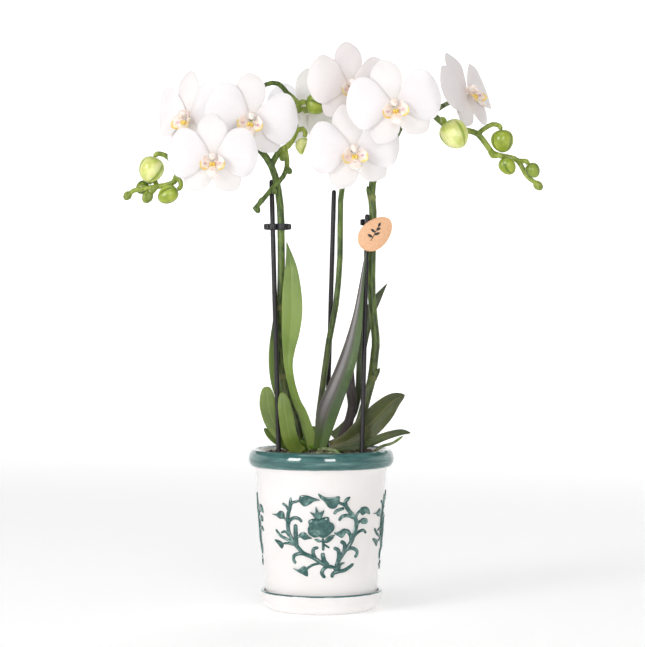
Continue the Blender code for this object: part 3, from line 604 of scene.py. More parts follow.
class Recipe(Bench):
    """A Geometry Nodes tree with named inputs, run once on a piece."""

    def __init__(self, name: str, *floats: str, whole: tuple[str, ...] = ()) -> None:
        """Start a tree, which also takes a geometry and the finish.

        Args:
            name: Name of the tree.
            *floats: Names of the inputs that take a number.
            whole: Names of the inputs that take a whole number.
        """
        tree = bpy.data.node_groups.new(name, "GeometryNodeTree")
        tree.is_modifier = True
        tree.interface.new_socket("Geometry", in_out="INPUT", socket_type="NodeSocketGeometry")
        tree.interface.new_socket("Geometry", in_out="OUTPUT", socket_type="NodeSocketGeometry")
        kinds = {label: "NodeSocketFloat" for label in floats} | {label: "NodeSocketInt" for label in whole}
        for label, kind in (kinds | {"Finish": "NodeSocketMaterial"}).items():
            tree.interface.new_socket(label, in_out="INPUT", socket_type=kind)
        super().__init__(tree)
        self.start = tree.nodes.new("NodeGroupInput")
        self.end = tree.nodes.new("NodeGroupOutput")

    def given(self, label: str) -> Wire:
        """The wire of a named input."""
        return Wire(self, self.start.outputs[label])

    def random(self, low: float, high: float, seed: int) -> Wire:
        """A random number for each element."""
        return self.node(
            "FunctionNodeRandomValue", {"data_type": "FLOAT"}, {2: low, 3: high, "Seed": seed}, 1
        )

    def random_vector(self, low: Point, high: Point, seed: int) -> Wire:
        """A random vector for each element."""
        return self.node(
            "FunctionNodeRandomValue", {"data_type": "FLOAT_VECTOR"}, {0: low, 1: high, "Seed": seed}, 0
        )

    def spots(self, densest: float, seed: int) -> Wire:
        """Points strewn over the faces, at least the input Gap apart."""
        inputs = {"Mesh": self.given("Geometry"), "Distance Min": self.given("Gap")}
        inputs |= {"Density Max": densest, "Seed": seed}
        return self.node("GeometryNodeDistributePointsOnFaces", {"distribute_method": "POISSON"}, inputs)

    def stored(self, geometry: Wire, domain: str, name: str, value: Wire | float) -> Wire:
        """The geometry with a number stored on each element under a name."""
        return self.node(
            "GeometryNodeStoreNamedAttribute",
            {"data_type": "FLOAT", "domain": domain},
            {0: geometry, "Name": name, "Value": value},
        )

    def close(self, geometry: Wire) -> None:
        """End the tree with Realize Instances and Set Material."""
        real = self.node("GeometryNodeRealizeInstances", {}, {0: geometry})
        smooth = self.node("GeometryNodeSetShadeSmooth", {}, {0: real})
        dressed = self.node(
            "GeometryNodeSetMaterial", {}, {0: smooth, "Material": self.given("Finish")}
        )
        self.tree.links.new(dressed.socket, self.end.inputs[0])

    def run(self, piece: bpy.types.Object, **values: object) -> bpy.types.Object:
        """Run the tree on a piece and keep the result as plain mesh.

        Args:
            piece: The object that the tree starts from.
            **values: A value for each named input, with _ for each space.

        Returns:
            The same object.
        """
        modifier = piece.modifiers.new("recipe", "NODES")
        modifier.node_group = self.tree
        for item in self.tree.interface.items_tree:
            key = item.name.replace(" ", "_")
            if item.in_out == "INPUT" and key in values:
                modifier[item.identifier] = values[key]
        settle(piece)
        return piece


# ---------------------------------------------------------------- finishes


@dataclass(frozen=True)
class Look:
    """A finish with a name."""

    name: str

    def made(self) -> bpy.types.Material:
        """A new material with this finish."""
        kit = Finish(self.name)
        return self.lay(kit, kit.place())

    def lay(self, kit: Finish, place: Wire) -> bpy.types.Material:
        """Lay the finish's nodes.

        Args:
            kit: The bench that they lie on.
            place: Where a point is on the object.

        Returns:
            The finished material.
        """
        raise NotImplementedError


@dataclass(frozen=True)
class GlazedWare(Look):
    """White glaze with teal over a band of height, outside a radius."""

    band_low: float
    band_inner: float

    def lay(self, kit: Finish, place: Wire) -> bpy.types.Material:
        """The glaze, pooled and brushed a little unevenly."""
        x, y, z = place.parts()
        radius = (x * x + y * y).math("SQRT")
        wander = (kit.noise(place, 160, 3) - 0.5) * 0.0009
        band = (z + wander).over(self.band_low * MM, (self.band_low + 0.5) * MM)
        outside = (radius + wander).over((self.band_inner - 0.3) * MM, (self.band_inner + 0.3) * MM)
        teal = band * outside
        streaks = kit.noise(kit.stretched(place, (1.0, 1.0, 7.0)), 60, 5)
        pooled = kit.ramp(
            streaks,
            [(0.30, tint(30, 82, 80)), (0.48, tint(56, 102, 99)), (0.62, tint(76, 119, 116)),
             (0.75, tint(112, 148, 144))],
        )
        soft = kit.noise(place, 22, 3)
        white = kit.mix(soft.over(0.35, 0.7), tint(240, 236, 234), tint(244, 241, 240))
        pin = kit.cells(place, 420).over(0.0, 0.09)
        flecked = kit.mix(pin, tint(226, 221, 216), white)
        base = kit.mix(teal, flecked, pooled)
        ripple = kit.bump(kit.noise(place, 55, 2), 0.16)
        peel = kit.bump(kit.noise(place, 700, 2), 0.012, ripple)
        gloss = 0.06 + kit.noise(place, 90, 3) * 0.07
        return kit.done(Base_Color=base, Roughness=gloss, Normal=peel, Coat_Weight=0.35, Coat_Roughness=0.05)


@dataclass(frozen=True)
class ReliefGlaze(Look):
    """Teal glaze that pools round the raised ornament and thins on its crests."""

    name: str = "relief_glaze"

    def lay(self, kit: Finish, place: Wire) -> bpy.types.Material:
        """The glaze."""
        crest = kit.mark("crest")
        mottle = kit.noise(place, 420, 4)
        pooled = kit.mix(mottle.over(0.35, 0.7), tint(22, 76, 72), tint(54, 104, 98))
        thin = kit.mix(mottle.over(0.4, 0.65), tint(76, 120, 114), tint(132, 166, 158))
        base = kit.mix(crest.over(0.75, 1.0) * kit.noise(place, 130, 2).over(0.42, 0.68), pooled, thin)
        bend = kit.bump(kit.noise(place, 520, 3), 0.10)
        gloss = 0.10 + mottle * 0.08
        return kit.done(Base_Color=base, Roughness=gloss, Normal=bend, Coat_Weight=0.4, Coat_Roughness=0.06)


@dataclass(frozen=True)
class Moulded(Look):
    """Plain moulded plastic with a faint grain."""

    colour: Colour
    worn: Colour
    roughness: float = 0.4
    grain: float = 0.03
    shine: float = 0.5

    def lay(self, kit: Finish, place: Wire) -> bpy.types.Material:
        """The plastic."""
        wear = kit.noise(place, 120, 5).over(0.45, 0.75)
        fine = kit.noise(place, 1500, 2)
        lines = kit.noise(kit.stretched(place, (1, 1, 0.06)), 900, 3)
        base = kit.mix(wear * 0.7, self.colour, self.worn)
        bend = kit.bump(fine * 0.5 + lines * 0.5, self.grain)
        rough = wear * 0.2 + self.roughness
        return kit.done(Base_Color=base, Roughness=rough, Normal=bend, Specular_IOR_Level=self.shine)


@dataclass(frozen=True)
class BarkChipFinish(Look):
    """Composted fir bark: brown chips, some pale, some with green algae."""

    name: str = "bark_chip"

    def lay(self, kit: Finish, place: Wire) -> bpy.types.Material:
        """The bark, coloured chip by chip from the mesh's tone."""
        tone = kit.mark("tone")
        chip = kit.ramp(
            tone,
            [
                (0.0, tint(44, 30, 24)),
                (0.25, tint(78, 52, 38)),
                (0.5, tint(104, 74, 52)),
                (0.68, tint(92, 84, 52)),
                (0.8, tint(150, 132, 98)),
                (0.92, tint(190, 180, 140)),
            ],
        )
        fibre = kit.noise(kit.stretched(place, (1, 1, 3)), 520, 6)
        dark = kit.mix(fibre.over(0.3, 0.65), tint(30, 20, 15), chip)
        moss = kit.noise(place, 110, 3).over(0.6, 0.74)
        base = kit.mix(moss * 0.5, dark, tint(104, 112, 56))
        bend = kit.bump(fibre, 0.5)
        return kit.done(Base_Color=base, Roughness=fibre * 0.2 + 0.72, Normal=bend)


@dataclass(frozen=True)
class MossFinish(Look):
    """Pale green sheet moss."""

    name: str = "sheet_moss"

    def lay(self, kit: Finish, place: Wire) -> bpy.types.Material:
        """The moss."""
        patch = kit.noise(place, 210, 4)
        base = kit.ramp(
            patch,
            [(0.3, tint(88, 96, 48)), (0.48, tint(146, 150, 96)), (0.62, tint(190, 188, 146)),
             (0.75, tint(214, 208, 176))],
        )
        bend = kit.bump(kit.noise(place, 900, 4), 0.4)
        return kit.done(Base_Color=base, Roughness=0.9, Normal=bend, Sheen_Weight=0.15)


@dataclass(frozen=True)
class LeafFinish(Look):
    """A blade with fine veins, a pale foot and border, and on some blades a purple-grey underside strip on one
    side, with a painted reflection streak along it.
    """

    face: Colour
    deep: Colour
    edge: Colour
    underside_sheen: float = 0.0
    gloss: float = 0.32

    def lay(self, kit: Finish, place: Wire) -> bpy.types.Material:
        """The leaf."""
        along, across, _ = kit.flow().parts()
        vein = kit.strands(along * 1.2, across * 34, 1.6, 4)
        broad = kit.noise(place, 26, 3)
        blade = kit.mix(broad.over(0.38, 0.62), self.deep, self.face)
        veined = kit.mix(vein.over(0.35, 0.7) * 0.45, blade, self.face)
        if self.underside_sheen:
            veined = self.underside_with_sheen(kit, along, across, veined)
        middle = 1 - abs(across - 0.5).over(0.0, 0.035)
        ribbed = kit.mix(middle * 0.35, veined, self.edge)
        border = abs(across - 0.5).over(0.455, 0.5)
        rimmed = kit.mix(border * 0.6, ribbed, self.edge)
        foot = 1 - along.over(0.02, 0.3)
        based = kit.mix(foot * 0.45, rimmed, self.edge)
        specks = kit.cells(place, 260).over(0.02, 0.09)
        base = kit.mix(specks, kit.mix(0.35, based, self.deep), based)
        bend = kit.bump(vein, 0.22)
        fine = kit.bump(kit.noise(place, 1400, 2), 0.02, bend)
        return kit.done(
            Base_Color=base,
            Roughness=vein * 0.16 + self.gloss - 0.06,
            Normal=fine,
            Specular_IOR_Level=0.32,
            Subsurface_Weight=0.08,
            Subsurface_Scale=0.002,
        )

    def underside_with_sheen(self, kit: Finish, along: Wire, across: Wire, under: Wire) -> Wire:
        """A purple-grey underside strip left of the finish's given share across, with a paler streak of painted
        reflection within it.

        Args:
            kit: The leaf's bench.
            along: Share along the blade.
            across: Share across it.
            under: The colour without the strip.

        Returns:
            The colour with it.
        """
        # Underside strip in its own purple-grey, with a paler streak that is a painted reflection of the lights.
        strip = 1 - across.over(self.underside_sheen - 0.02, self.underside_sheen + 0.02)
        sheen_streak = 1 - abs(across - self.underside_sheen * 0.62).over(0.02, 0.16)
        length = along.over(0.12, 0.4) * (1 - along.over(0.86, 1.0))
        grey = kit.mix(sheen_streak * length * 0.8, tint(82, 76, 74), tint(162, 160, 158))
        return kit.mix(strip * along.over(0.1, 0.24), under, grey)


@dataclass(frozen=True)
class StemFinish(Look):
    """A spike's skin: dark below, fresher green towards the buds and yellow-green at the flower stalks."""

    name: str = "stem_skin"

    def lay(self, kit: Finish, place: Wire) -> bpy.types.Material:
        """The stem."""
        fresh = kit.mark("fresh")
        ring = kit.mark("ring")
        height = place.parts()[2]
        mottle = kit.noise(kit.stretched(place, (1, 1, 0.25)), 420, 5)
        low = kit.mix(mottle.over(0.35, 0.65), tint(46, 54, 22), tint(82, 94, 40))
        high = kit.mix(mottle.over(0.35, 0.65), tint(56, 76, 26), tint(100, 122, 50))
        stem = kit.mix(height.over(0.15, 0.27), low, high)
        stalk = kit.mix(mottle.over(0.3, 0.7), tint(124, 146, 48), tint(172, 184, 84))
        skin = kit.mix(fresh, stem, stalk)
        ringed = kit.mix(ring * 0.75, skin, tint(168, 160, 104))
        specks = kit.cells(place, 700).over(0.05, 0.16)
        base = kit.mix(specks * 0.5 + 0.5, kit.mix(0.3, ringed, tint(60, 34, 26)), ringed)
        bend = kit.bump(mottle, 0.12)
        return kit.done(
            Base_Color=base,
            Roughness=mottle * 0.2 + 0.34,
            Normal=bend,
            Specular_IOR_Level=0.35,
            Subsurface_Weight=0.06,
            Subsurface_Scale=0.002,
        )


@dataclass(frozen=True)
class BudFinish(Look):
    """A bud's skin between its pale swell and its green seams."""

    pale: Colour
    fresh: Colour
    deep: Colour

    def lay(self, kit: Finish, place: Wire) -> bpy.types.Material:
        """The bud."""
        along, across, _ = kit.flow().parts()
        seam = kit.mark("seam")
        vein = kit.strands(along, across * 26, 1.5, 3)
        patch = kit.noise(place, 120, 3)
        swell = kit.mix(patch.over(0.35, 0.65), self.fresh, self.pale)
        veined = kit.mix(vein.over(0.45, 0.7) * 0.3, swell, self.fresh)
        seamed = kit.mix(seam.over(0.1, 0.95) * 0.8, veined, self.deep)
        base = kit.mix((1 - along.over(0.0, 0.35)) * 0.75, seamed, self.deep)
        bend = kit.bump(vein * 0.6 + kit.noise(place, 1200, 2) * 0.2, 0.1)
        return kit.done(
            Base_Color=base,
            Roughness=patch * 0.2 + 0.24,
            Normal=bend,
            Subsurface_Weight=0.15,
            Subsurface_Scale=0.003,
        )


@dataclass(frozen=True)
class PetalFinish(Look):
    """White petal tissue with faint veins, with warm painted shade at the throat and pinkish painted shade on the
    back.
    """

    name: str = "petal"
    shade: Colour = field(default_factory=lambda: tint(240, 236, 242))
    light: Colour = field(default_factory=lambda: tint(250, 248, 252))
    throat_shade: Colour = field(default_factory=lambda: tint(232, 220, 200))

    def lay(self, kit: Finish, place: Wire) -> bpy.types.Material:
        """The petal."""
        along, across, _ = kit.flow().parts()
        back = kit.mark("back")
        fan = kit.strands(along * 1.1, across * 30, 1.5, 4)
        cloud = kit.noise(place, 45, 3)
        face = kit.mix(cloud.over(0.35, 0.65), self.shade, self.light)
        veined = kit.mix(fan.over(0.48, 0.75) * 0.5, face, tint(231, 227, 232))
        # Warm painted shade towards the middle of the flower.
        throat_shade = 1 - along.over(0.02, 0.42)
        warm = kit.mix(throat_shade * 0.7, veined, self.throat_shade)
        # Pinkish painted shade on the back faces of petals and sepals.
        back_shaded = kit.mix(back * 0.6, warm, tint(238, 230, 230))
        sparkle = kit.noise(place, 2600, 2)
        bend = kit.bump(fan, 0.22)
        fine = kit.bump(sparkle, 0.03, bend)
        return kit.done(
            Base_Color=back_shaded,
            Roughness=sparkle * 0.2 + 0.42,
            Normal=fine,
            Subsurface_Weight=0.25,
            Subsurface_Scale=0.004,
            Subsurface_Radius=(1.0, 0.96, 0.96),
            Sheen_Weight=0.08,
        )


@dataclass(frozen=True)
class LipFinish(Look):
    """The lip: white, gold at the borders, red-brown dots at the callus and a plum stripe."""

    name: str = "lip_tissue"

    def lay(self, kit: Finish, place: Wire) -> bpy.types.Material:
        """The lip."""
        gold = kit.mark("gold")
        spot = kit.mark("spot")
        plum = kit.mark("plum")
        cloud = kit.noise(place, 260, 4)
        white = kit.mix(cloud.over(0.35, 0.65), tint(246, 226, 212), tint(253, 244, 240))
        amber = kit.mix(cloud.over(0.3, 0.7), tint(248, 204, 78), tint(253, 230, 112))
        gilded = kit.mix(gold.over(0.15, 0.75), white, amber)
        dots = 1 - kit.cells(place, 900).over(0.22, 0.4)
        spotted = kit.mix(dots * spot, gilded, tint(150, 62, 26))
        base = kit.mix(plum * cloud.over(0.3, 0.55), spotted, tint(176, 66, 122))
        bend = kit.bump(kit.noise(place, 1100, 3), 0.08)
        return kit.done(
            Base_Color=base,
            Roughness=cloud * 0.2 + 0.28,
            Normal=bend,
            Subsurface_Weight=0.2,
            Subsurface_Scale=0.002,
        )


@dataclass(frozen=True)
class RootFinish(Look):
    """An air root: silver skin over green, with a green tip."""

    name: str = "air_root"

    def lay(self, kit: Finish, place: Wire) -> bpy.types.Material:
        """The root."""
        along = kit.flow().parts()[0]
        crackle = kit.noise(place, 520, 5)
        skin = kit.mix(crackle.over(0.4, 0.62), tint(92, 112, 54), tint(146, 154, 112))
        base = kit.mix(along.over(0.7, 0.98), skin, tint(110, 140, 44))
        return kit.done(Base_Color=base, Roughness=crackle * 0.2 + 0.5, Normal=kit.bump(crackle, 0.2))


@dataclass(frozen=True)
class CardFinish(Look):
    """Buff card with a fibre."""

    name: str = "tag_buff"
    colour: Colour = field(default_factory=lambda: tint(238, 188, 146))

    def lay(self, kit: Finish, place: Wire) -> bpy.types.Material:
        """The card."""
        pulp = kit.noise(place, 1500, 4)
        base = kit.mix(pulp.over(0.4, 0.7), self.colour, tint(224, 168, 124))
        return kit.done(Base_Color=base, Roughness=pulp * 0.15 + 0.5, Normal=kit.bump(pulp, 0.03))


@dataclass(frozen=True)
class StudioFinish(Look):
    """Matt white paper under and behind the plant, which glows as painted light: grey near the plant and at the
    front, white far off and behind.
    """

    name: str = "studio_paper"

    def lay(self, kit: Finish, place: Wire) -> bpy.types.Material:
        """The paper."""
        x, y, _ = place.parts()
        tooth = kit.noise(place, 300, 3)
        base = kit.mix(tooth, tint(248, 248, 248), tint(252, 252, 252))
        # Painted light: the paper's glow, grey near the plant and at the front, white far off and behind.
        far = (x * x + y * y).math("SQRT").over(0.6, 3.0)
        near = tint(166, 166, 166)
        glow = kit.mix(far, near, kit.mix(y.over(-1.5, 1.5), near, tint(255, 255, 255)))
        return kit.done(Base_Color=base, Roughness=0.9, Emission_Color=glow, Emission_Strength=0.62)


# ---------------------------------------------------------------- placing a finished piece


def deliver(piece: bpy.types.Object, slot: str, *nodes: str) -> None:
    """Fix a finished piece to the part and report it.

    Args:
        piece: The finished piece.
        slot: The record's material slot.
        *nodes: The CAD nodes that it stands for.
    """
    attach(piece, BODY)
    if nodes:
        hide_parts(*nodes)
    log.info("%s: %d faces, slot %s", piece.name, len(piece.data.polygons), slot)


# ---------------------------------------------------------------- planter and saucer


@dataclass
class Planter:
    """The rolled-rim planter and its three raised wreaths."""

    rim_roll_height: float = 13.2
    rim_roll_width: float = 8.0
    wall: float = 4.0
    floor: float = 4.5
    drain: float = 5.0
    sides: int = 160
    waver: float = 0.12
    crest_full: float = 0.75
    sunk: float = 0.3
    wreath_height: float = 54.4
    wreath_turns: tuple[float, ...] = (0.0, 106.0, -116.0)
    stroke_gain: float = 1.42
    taper: float = 0.16
    blunt_end: float = 0.06
    pillow_gain: float = 1.07

    def __post_init__(self) -> None:
        """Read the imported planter's place and size."""
        low, high = solid_box("planter")
        self.foot = low[2]
        self.height = high[2] - low[2]
        self.rim_radius = high[0]
        points = solid_points("planter")
        near = points[np.abs(points[:, 2] - self.foot - 2.0) < 0.2]
        self.foot_radius = float(np.hypot(near[:, 0], near[:, 1]).max())

    def outer(self, height: float | Array) -> float | Array:
        """Outer radius of the wall at a height over its foot."""
        top = self.rim_radius - self.rim_roll_width / 2
        return self.foot_radius + (top - self.foot_radius) * height / self.height

    def build_pot(self) -> None:
        """Turn the pot: wall, rolled rim, inside and drain hole."""
        crest = self.foot + self.height
        under = self.height - self.rim_roll_height
        roll_radius, roll_half = self.rim_roll_width / 2, self.rim_roll_height / 2
        rows = [(self.drain, self.foot), (self.foot_radius - 3.2, self.foot)]
        rows += arc(-90, 0, 7, (self.foot_radius - 3.1, self.foot + 2.6), (3.0, 2.6))
        rows += [(self.outer(under * share), self.foot + under * share) for share in np.linspace(0.04, 1, 26)]
        rows += arc(-66, 178, 34, (self.rim_radius - roll_radius, crest - roll_half), (roll_radius, roll_half))
        rows += [
            (self.outer(under * share) - self.wall, self.foot + under * share) for share in np.linspace(1,
             0.09, 18)
        ]
        rows += [
            (self.outer(self.floor) - self.wall - 3.0, self.foot + self.floor + 0.4),
            (self.drain + 0.6, self.foot + self.floor),
            (self.drain, self.foot + self.floor - 0.6),
        ]
        rings = lathe_grid(np.array(rows + rows[:1]), self.sides)
        turn = np.arctan2(rings[..., 1], rings[..., 0])
        rings[..., 2] += self.waver * np.sin(3 * turn + 0.6) * rise(rings[..., 2], self.foot + 20, crest)
        clay = Clay()
        clay.add_tube(rings)
        band_low = crest - self.rim_roll_height + 0.2
        finish = GlazedWare("planter_glaze", band_low, self.rim_radius - self.rim_roll_width * 0.78)
        clay.deliver("planter_ware", finish.made(), "white_glaze", "planter")

    def wrapped(self, flat: Array, turn: float) -> Array:
        """Lay an ornament's flat points on the wall.

        Args:
            flat: Rows of distance right, distance up and height over the wall.
            turn: Angle round the pot from its front, in degrees.

        Returns:
            The points in millimetres.
        """
        height = self.wreath_height + flat[:, 1]
        around = math.radians(turn - 90) + np.arcsin(flat[:, 0] / self.outer(self.wreath_height))
        radius = self.outer(height) + flat[:, 2]
        return np.stack([radius * np.cos(around), radius * np.sin(around), height + self.foot], -1)

    def build_wreaths(self) -> None:
        """Sweep the tendrils with Geometry Nodes, and add the leaves and the fruit."""
        recipe = Recipe("raised_tendrils", "Girth", whole=("Sides",))
        line = recipe.node("GeometryNodeMeshToCurve", {}, {0: recipe.given("Geometry")})
        girth = recipe.node("GeometryNodeInputNamedAttribute", {"data_type": "FLOAT"}, {"Name": "girth"}, 0)
        girth = girth * recipe.given("Girth")
        scaled = recipe.node("GeometryNodeSetCurveRadius", {}, {0: line, "Radius": girth})
        inputs = {"Resolution": recipe.given("Sides"), "Radius": 1.0}
        ring = recipe.node("GeometryNodeCurvePrimitiveCircle", {"mode": "RADIUS"}, inputs)
        inputs = {"Curve": scaled, "Profile Curve": ring, "Fill Caps": True}
        swept = recipe.node("GeometryNodeCurveToMesh", {}, inputs)
        sweep_node = swept.socket.node
        if "Scale" in sweep_node.inputs:
            width = recipe.node("GeometryNodeInputRadius", {}, {})
            recipe.tree.links.new(width.socket, sweep_node.inputs["Scale"])
        recipe.close(recipe.stored(swept, "POINT", "crest", 1.0))
        finish = ReliefGlaze().made()
        for index, turn in enumerate(self.wreath_turns):
            tendrils = self.tendril_lines(turn)
            recipe.run(tendrils, Girth=MM, Sides=10, Finish=finish)
            self.mark_crest(tendrils)
            tendrils.name = f"wreath_tendrils_{index}"
            tidy_mesh(tendrils)
            deliver(tendrils, "white_glaze")
            clay = Clay()
            for outline, lift in Wreath.PILLOWS:
                self.add_pillow(clay, np.array(outline, float), lift, turn)
            clay.deliver(f"wreath_leaves_{index}", finish, "white_glaze")

    def mark_crest(self, piece: bpy.types.Object) -> None:
        """Store how high over the wall each corner stands, 0 to 1."""
        points = corners_of(piece.data)
        over = np.hypot(points[:, 0], points[:, 1]) - self.outer(points[:, 2] - self.foot)
        set_mark(piece.data, "crest", np.clip(over / self.crest_full, 0, 1))

    def tendril_lines(self, turn: float) -> bpy.types.Object:
        """The wreath's strokes as chains of edges with a girth at each point.

        Args:
            turn: Angle of the wreath round the pot, in degrees.

        Returns:
            The new object.
        """
        points, edges, girths = [], [], []
        for knots, widest in Wreath.STROKES:
            steps = 4 * len(knots) + 4
            shares = np.linspace(0, 1, steps)
            flat = through(np.array(knots, float), shares)
            width = widest * self.stroke_gain * (1 - self.taper + self.taper * np.sin(math.pi * shares))
            width *= np.sqrt(1 - 0.9 * (1 - rise(np.minimum(shares, 1 - shares), 0.0, self.blunt_end)) ** 2)
            flat = np.column_stack([flat, np.full(steps, -self.sunk)])
            start = len(points)
            points += (self.wrapped(flat, turn) * MM).tolist()
            edges += [(start + step, start + step + 1) for step in range(steps - 1)]
            girths += width.tolist()
        mesh = bpy.data.meshes.new("tendrils")
        mesh.from_pydata(points, edges, [])
        set_mark(mesh, "girth", girths)
        return put("tendrils", mesh)

    def add_pillow(self, clay: Clay, outline: Array, lift: float, turn: float) -> None:
        """Add a cushion-like relief inside an outline.

        Args:
            clay: Where it is added.
            outline: Rows of right and up, going round against the clock.
            lift: Its height over the wall.
            turn: Angle of the wreath round the pot.
        """
        closed = np.concatenate([outline, outline[:1]])
        shares = np.linspace(0, 1, 4 * len(outline) + 1)[:-1]
        edge = through(closed, shares)
        edge = edge.mean(axis=0) + (edge - edge.mean(axis=0)) * self.pillow_gain
        if np.cross(edge, np.roll(edge, -1, axis=0)).sum() < 0:
            edge = edge[::-1]
        middle = edge.mean(axis=0)
        rings = []
        levels = ((1.0, -0.5), (1.0, 0.2), (0.97, 0.55), (0.88, 0.82), (0.7, 0.96), (0.42, 1.0), (0.15, 0.97))
        for size, height in levels:
            flat = middle + (edge - middle) * size
            rings.append(np.column_stack([flat, np.full(len(flat), height * lift)]))
        grid = np.array([self.wrapped(ring, turn) for ring in rings])
        crest = np.repeat([max(height, 0.0) for _, height in levels], len(edge))
        clay.add_rod(grid, crest=crest)


class Wreath:
    """The wreath: vines, hooks, leaves and a round fruit, as millimetres right and up of its middle."""

    STROKES = (
        (((11.2, -22.5), (4.9, -21.4), (0, -19.0), (-6.3, -14.9), (-13.4, -12.0), (-17.6, -7.7), (-20.4, -4.2),
          (-23.7, 2.8), (-24.3, 9.1), (-23.8, 16.5), (-22.1, 22.5), (-21.4, 29.6)), 1.25),
        (((-21.8, 23.0), (-20.4, 25.4), (-17.6, 26.4), (-14.5, 27.6)), 0.8),
        (((10.8, -23.0), (12.8, -18.4), (16.2, -12.7), (20.4, -7.0), (22.7, -2.8), (24.6, 3.5), (25.6, 9.0),
          (24.6, 13.4), (21.1, 17.8), (17.9, 22.5), (17.2, 26.5), (20.3, 29.8)), 1.3),
        (((17.9, 22.0), (15.6, 24.2), (12.8, 25.6), (10.5, 27.0)), 0.85),
        (((-23.6, 19.5), (-24.8, 22.5), (-27.8, 24.6)), 0.85),
        (((-24.0, 10.5), (-25.6, 12.3), (-27.5, 14.6)), 0.75),
        (((-23.9, 8.0), (-22.6, 12.2), (-19.4, 14.2), (-16.0, 13.6), (-14.0, 11.2)), 1.0),
        (((-20.4, -5.6), (-25.3, -2.3), (-30.2, 0.2), (-33.6, 4.6)), 0.95),
        (((-23.6, 0.0), (-26.4, 3.4), (-29.8, 2.4)), 0.8),
        (((-20.6, -6.2), (-24.5, -5.2), (-28.5, -5.4)), 0.75),
        (((-18.2, -7.7), (-18.7, -2.0), (-18.9, 4.0), (-18.7, 9.6)), 1.3),
        (((-18.6, -1.0), (-16.4, 0.6), (-13.5, 0.8)), 0.8),
        (((-11.6, -13.0), (-16.0, -12.4), (-20.3, -13.8), (-21.1, -17.2), (-19.4, -20.0)), 1.0),
        (((-4.2, -15.6), (-6.2, -11.6), (-5.4, -8.4), (-2.0, -7.6)), 1.0),
        (((5.6, -20.8), (2.6, -18.0), (1.3, -14.6), (1.0, -11.4)), 1.25),
        (((-1.0, -19.4), (-5.4, -20.2), (-9.5, -22.2), (-11.8, -24.6)), 0.75),
        (((5.2, -21.6), (1.9, -23.4), (0.5, -26.8), (2.9, -30.4)), 1.05),
        (((8.0, -30.2), (9.3, -27.0), (13.4, -25.6), (18.6, -24.6), (25.0, -20.4)), 1.15),
        (((16.4, 21.6), (13.6, 20.8), (10.9, 19.6), (9.1, 17.2)), 0.95),
        (((23.4, 13.6), (19.4, 15.8), (15.2, 15.4), (12.6, 12.2)), 1.0),
        (((25.0, 11.0), (25.4, 15.4), (27.2, 18.4), (30.4, 19.6)), 0.85),
        (((25.2, 6.6), (27.2, 10.4), (29.6, 11.6)), 0.9),
        (((24.2, -0.4), (27.0, 2.8), (30.8, 4.2), (33.3, 1.6)), 0.9),
        (((22.0, -3.6), (21.6, 0.8), (19.4, 4.2), (16.6, 4.8)), 1.15),
        (((14.9, -14.8), (17.4, -9.6), (17.2, -5.2), (14.2, -3.0)), 1.2),
        (((12.2, -19.5), (13.3, -13.6), (12.6, -9.6), (9.2, -7.8)), 1.15),
        (((17.8, -10.4), (22.6, -8.6), (26.6, -10.6), (26.9, -13.6), (25.4, -15.9)), 1.05),
        (((1.0, -0.5), (1.5, -5.0), (1.4, -10.0)), 0.8),
        (((1.6, -4.6), (3.9, -6.4), (6.2, -7.9)), 0.6),
    )
    PILLOWS = (
        (((-15.6, 26.6), (-12.0, 23.2), (-8.0, 24.8), (-5.0, 26.9), (-1.2, 27.8), (-6.0, 29.6), (-10.0, 31.0),
          (-14.4, 30.6)), 1.05),
        (((12.2, 25.4), (9.4, 21.8), (5.4, 22.4), (2.6, 26.4), (-0.6, 29.4), (-1.6, 32.4), (3.2, 29.9),
          (8.4, 29.8), (12.4, 30.2)), 1.1),
        (((-26.6, 13.2), (-30.0, 13.0), (-32.4, 14.8), (-35.4, 15.8), (-32.0, 16.4), (-29.6, 18.6),
          (-27.0, 17.6)), 0.95),
        (((-28.0, -5.6), (-29.6, -9.4), (-32.0, -6.8), (-34.6, -3.4), (-31.0, -3.8)), 0.9),
        (((-16.6, 1.2), (-13.0, -1.8), (-10.0, -1.4), (-7.0, -0.6), (-9.4, 1.0), (-11.8, 3.4), (-14.6, 3.2)),
          1.0),
        (((-10.8, -25.0), (-10.8, -29.0), (-14.8, -27.6), (-18.0, -26.0), (-21.4, -23.6), (-17.4, -24.2),
          (-14.2, -22.0), (-11.8, -22.4)), 1.0),
        (((27.2, 18.8), (29.6, 15.6), (32.0, 16.8), (34.8, 15.8), (33.8, 20.0), (31.4, 21.6), (28.4, 21.0)),
          1.0),
        (((28.0, 11.6), (30.0, 9.0), (33.2, 9.2), (33.0, 12.4), (30.0, 13.2)), 0.95),
        (((18.0, 3.2), (15.4, -0.4), (12.4, 1.0), (9.6, 3.2), (13.0, 4.4), (16.0, 6.2), (18.6, 5.4)), 1.0),
        (((12.6, -21.6), (14.6, -19.4), (17.8, -19.2), (15.2, -21.0), (14.4, -23.6), (11.6, -25.2),
          (9.4, -23.6)), 1.1),
        (((-9.4, 6.4), (-8.6, 2.6), (-5.0, 0.4), (-1.6, 1.0), (0.8, 0.0), (3.6, 0.8), (6.6, 3.2), (9.0, 6.6),
          (8.0, 10.2), (5.6, 11.4), (5.0, 14.6), (1.6, 14.6), (-1.4, 13.2), (-5.6, 13.6), (-8.8, 11.8),
          (-8.4, 9.0)), 1.9),
        (((-0.8, 13.0), (-4.0, 14.0), (-6.2, 16.6), (-7.8, 18.8), (-4.4, 17.8), (-3.8, 22.6), (-1.4, 18.4),
          (1.8, 20.2), (0.8, 16.4)), 1.35),
        (((-5.2, -1.6), (-2.4, -3.6), (0.4, -3.2), (-1.0, -1.8), (-3.2, -1.0)), 0.85),
        (((1.8, -3.8), (5.0, -3.8), (8.0, -1.6), (9.8, 1.6), (6.4, 1.2), (3.6, -0.6)), 0.9),
    )


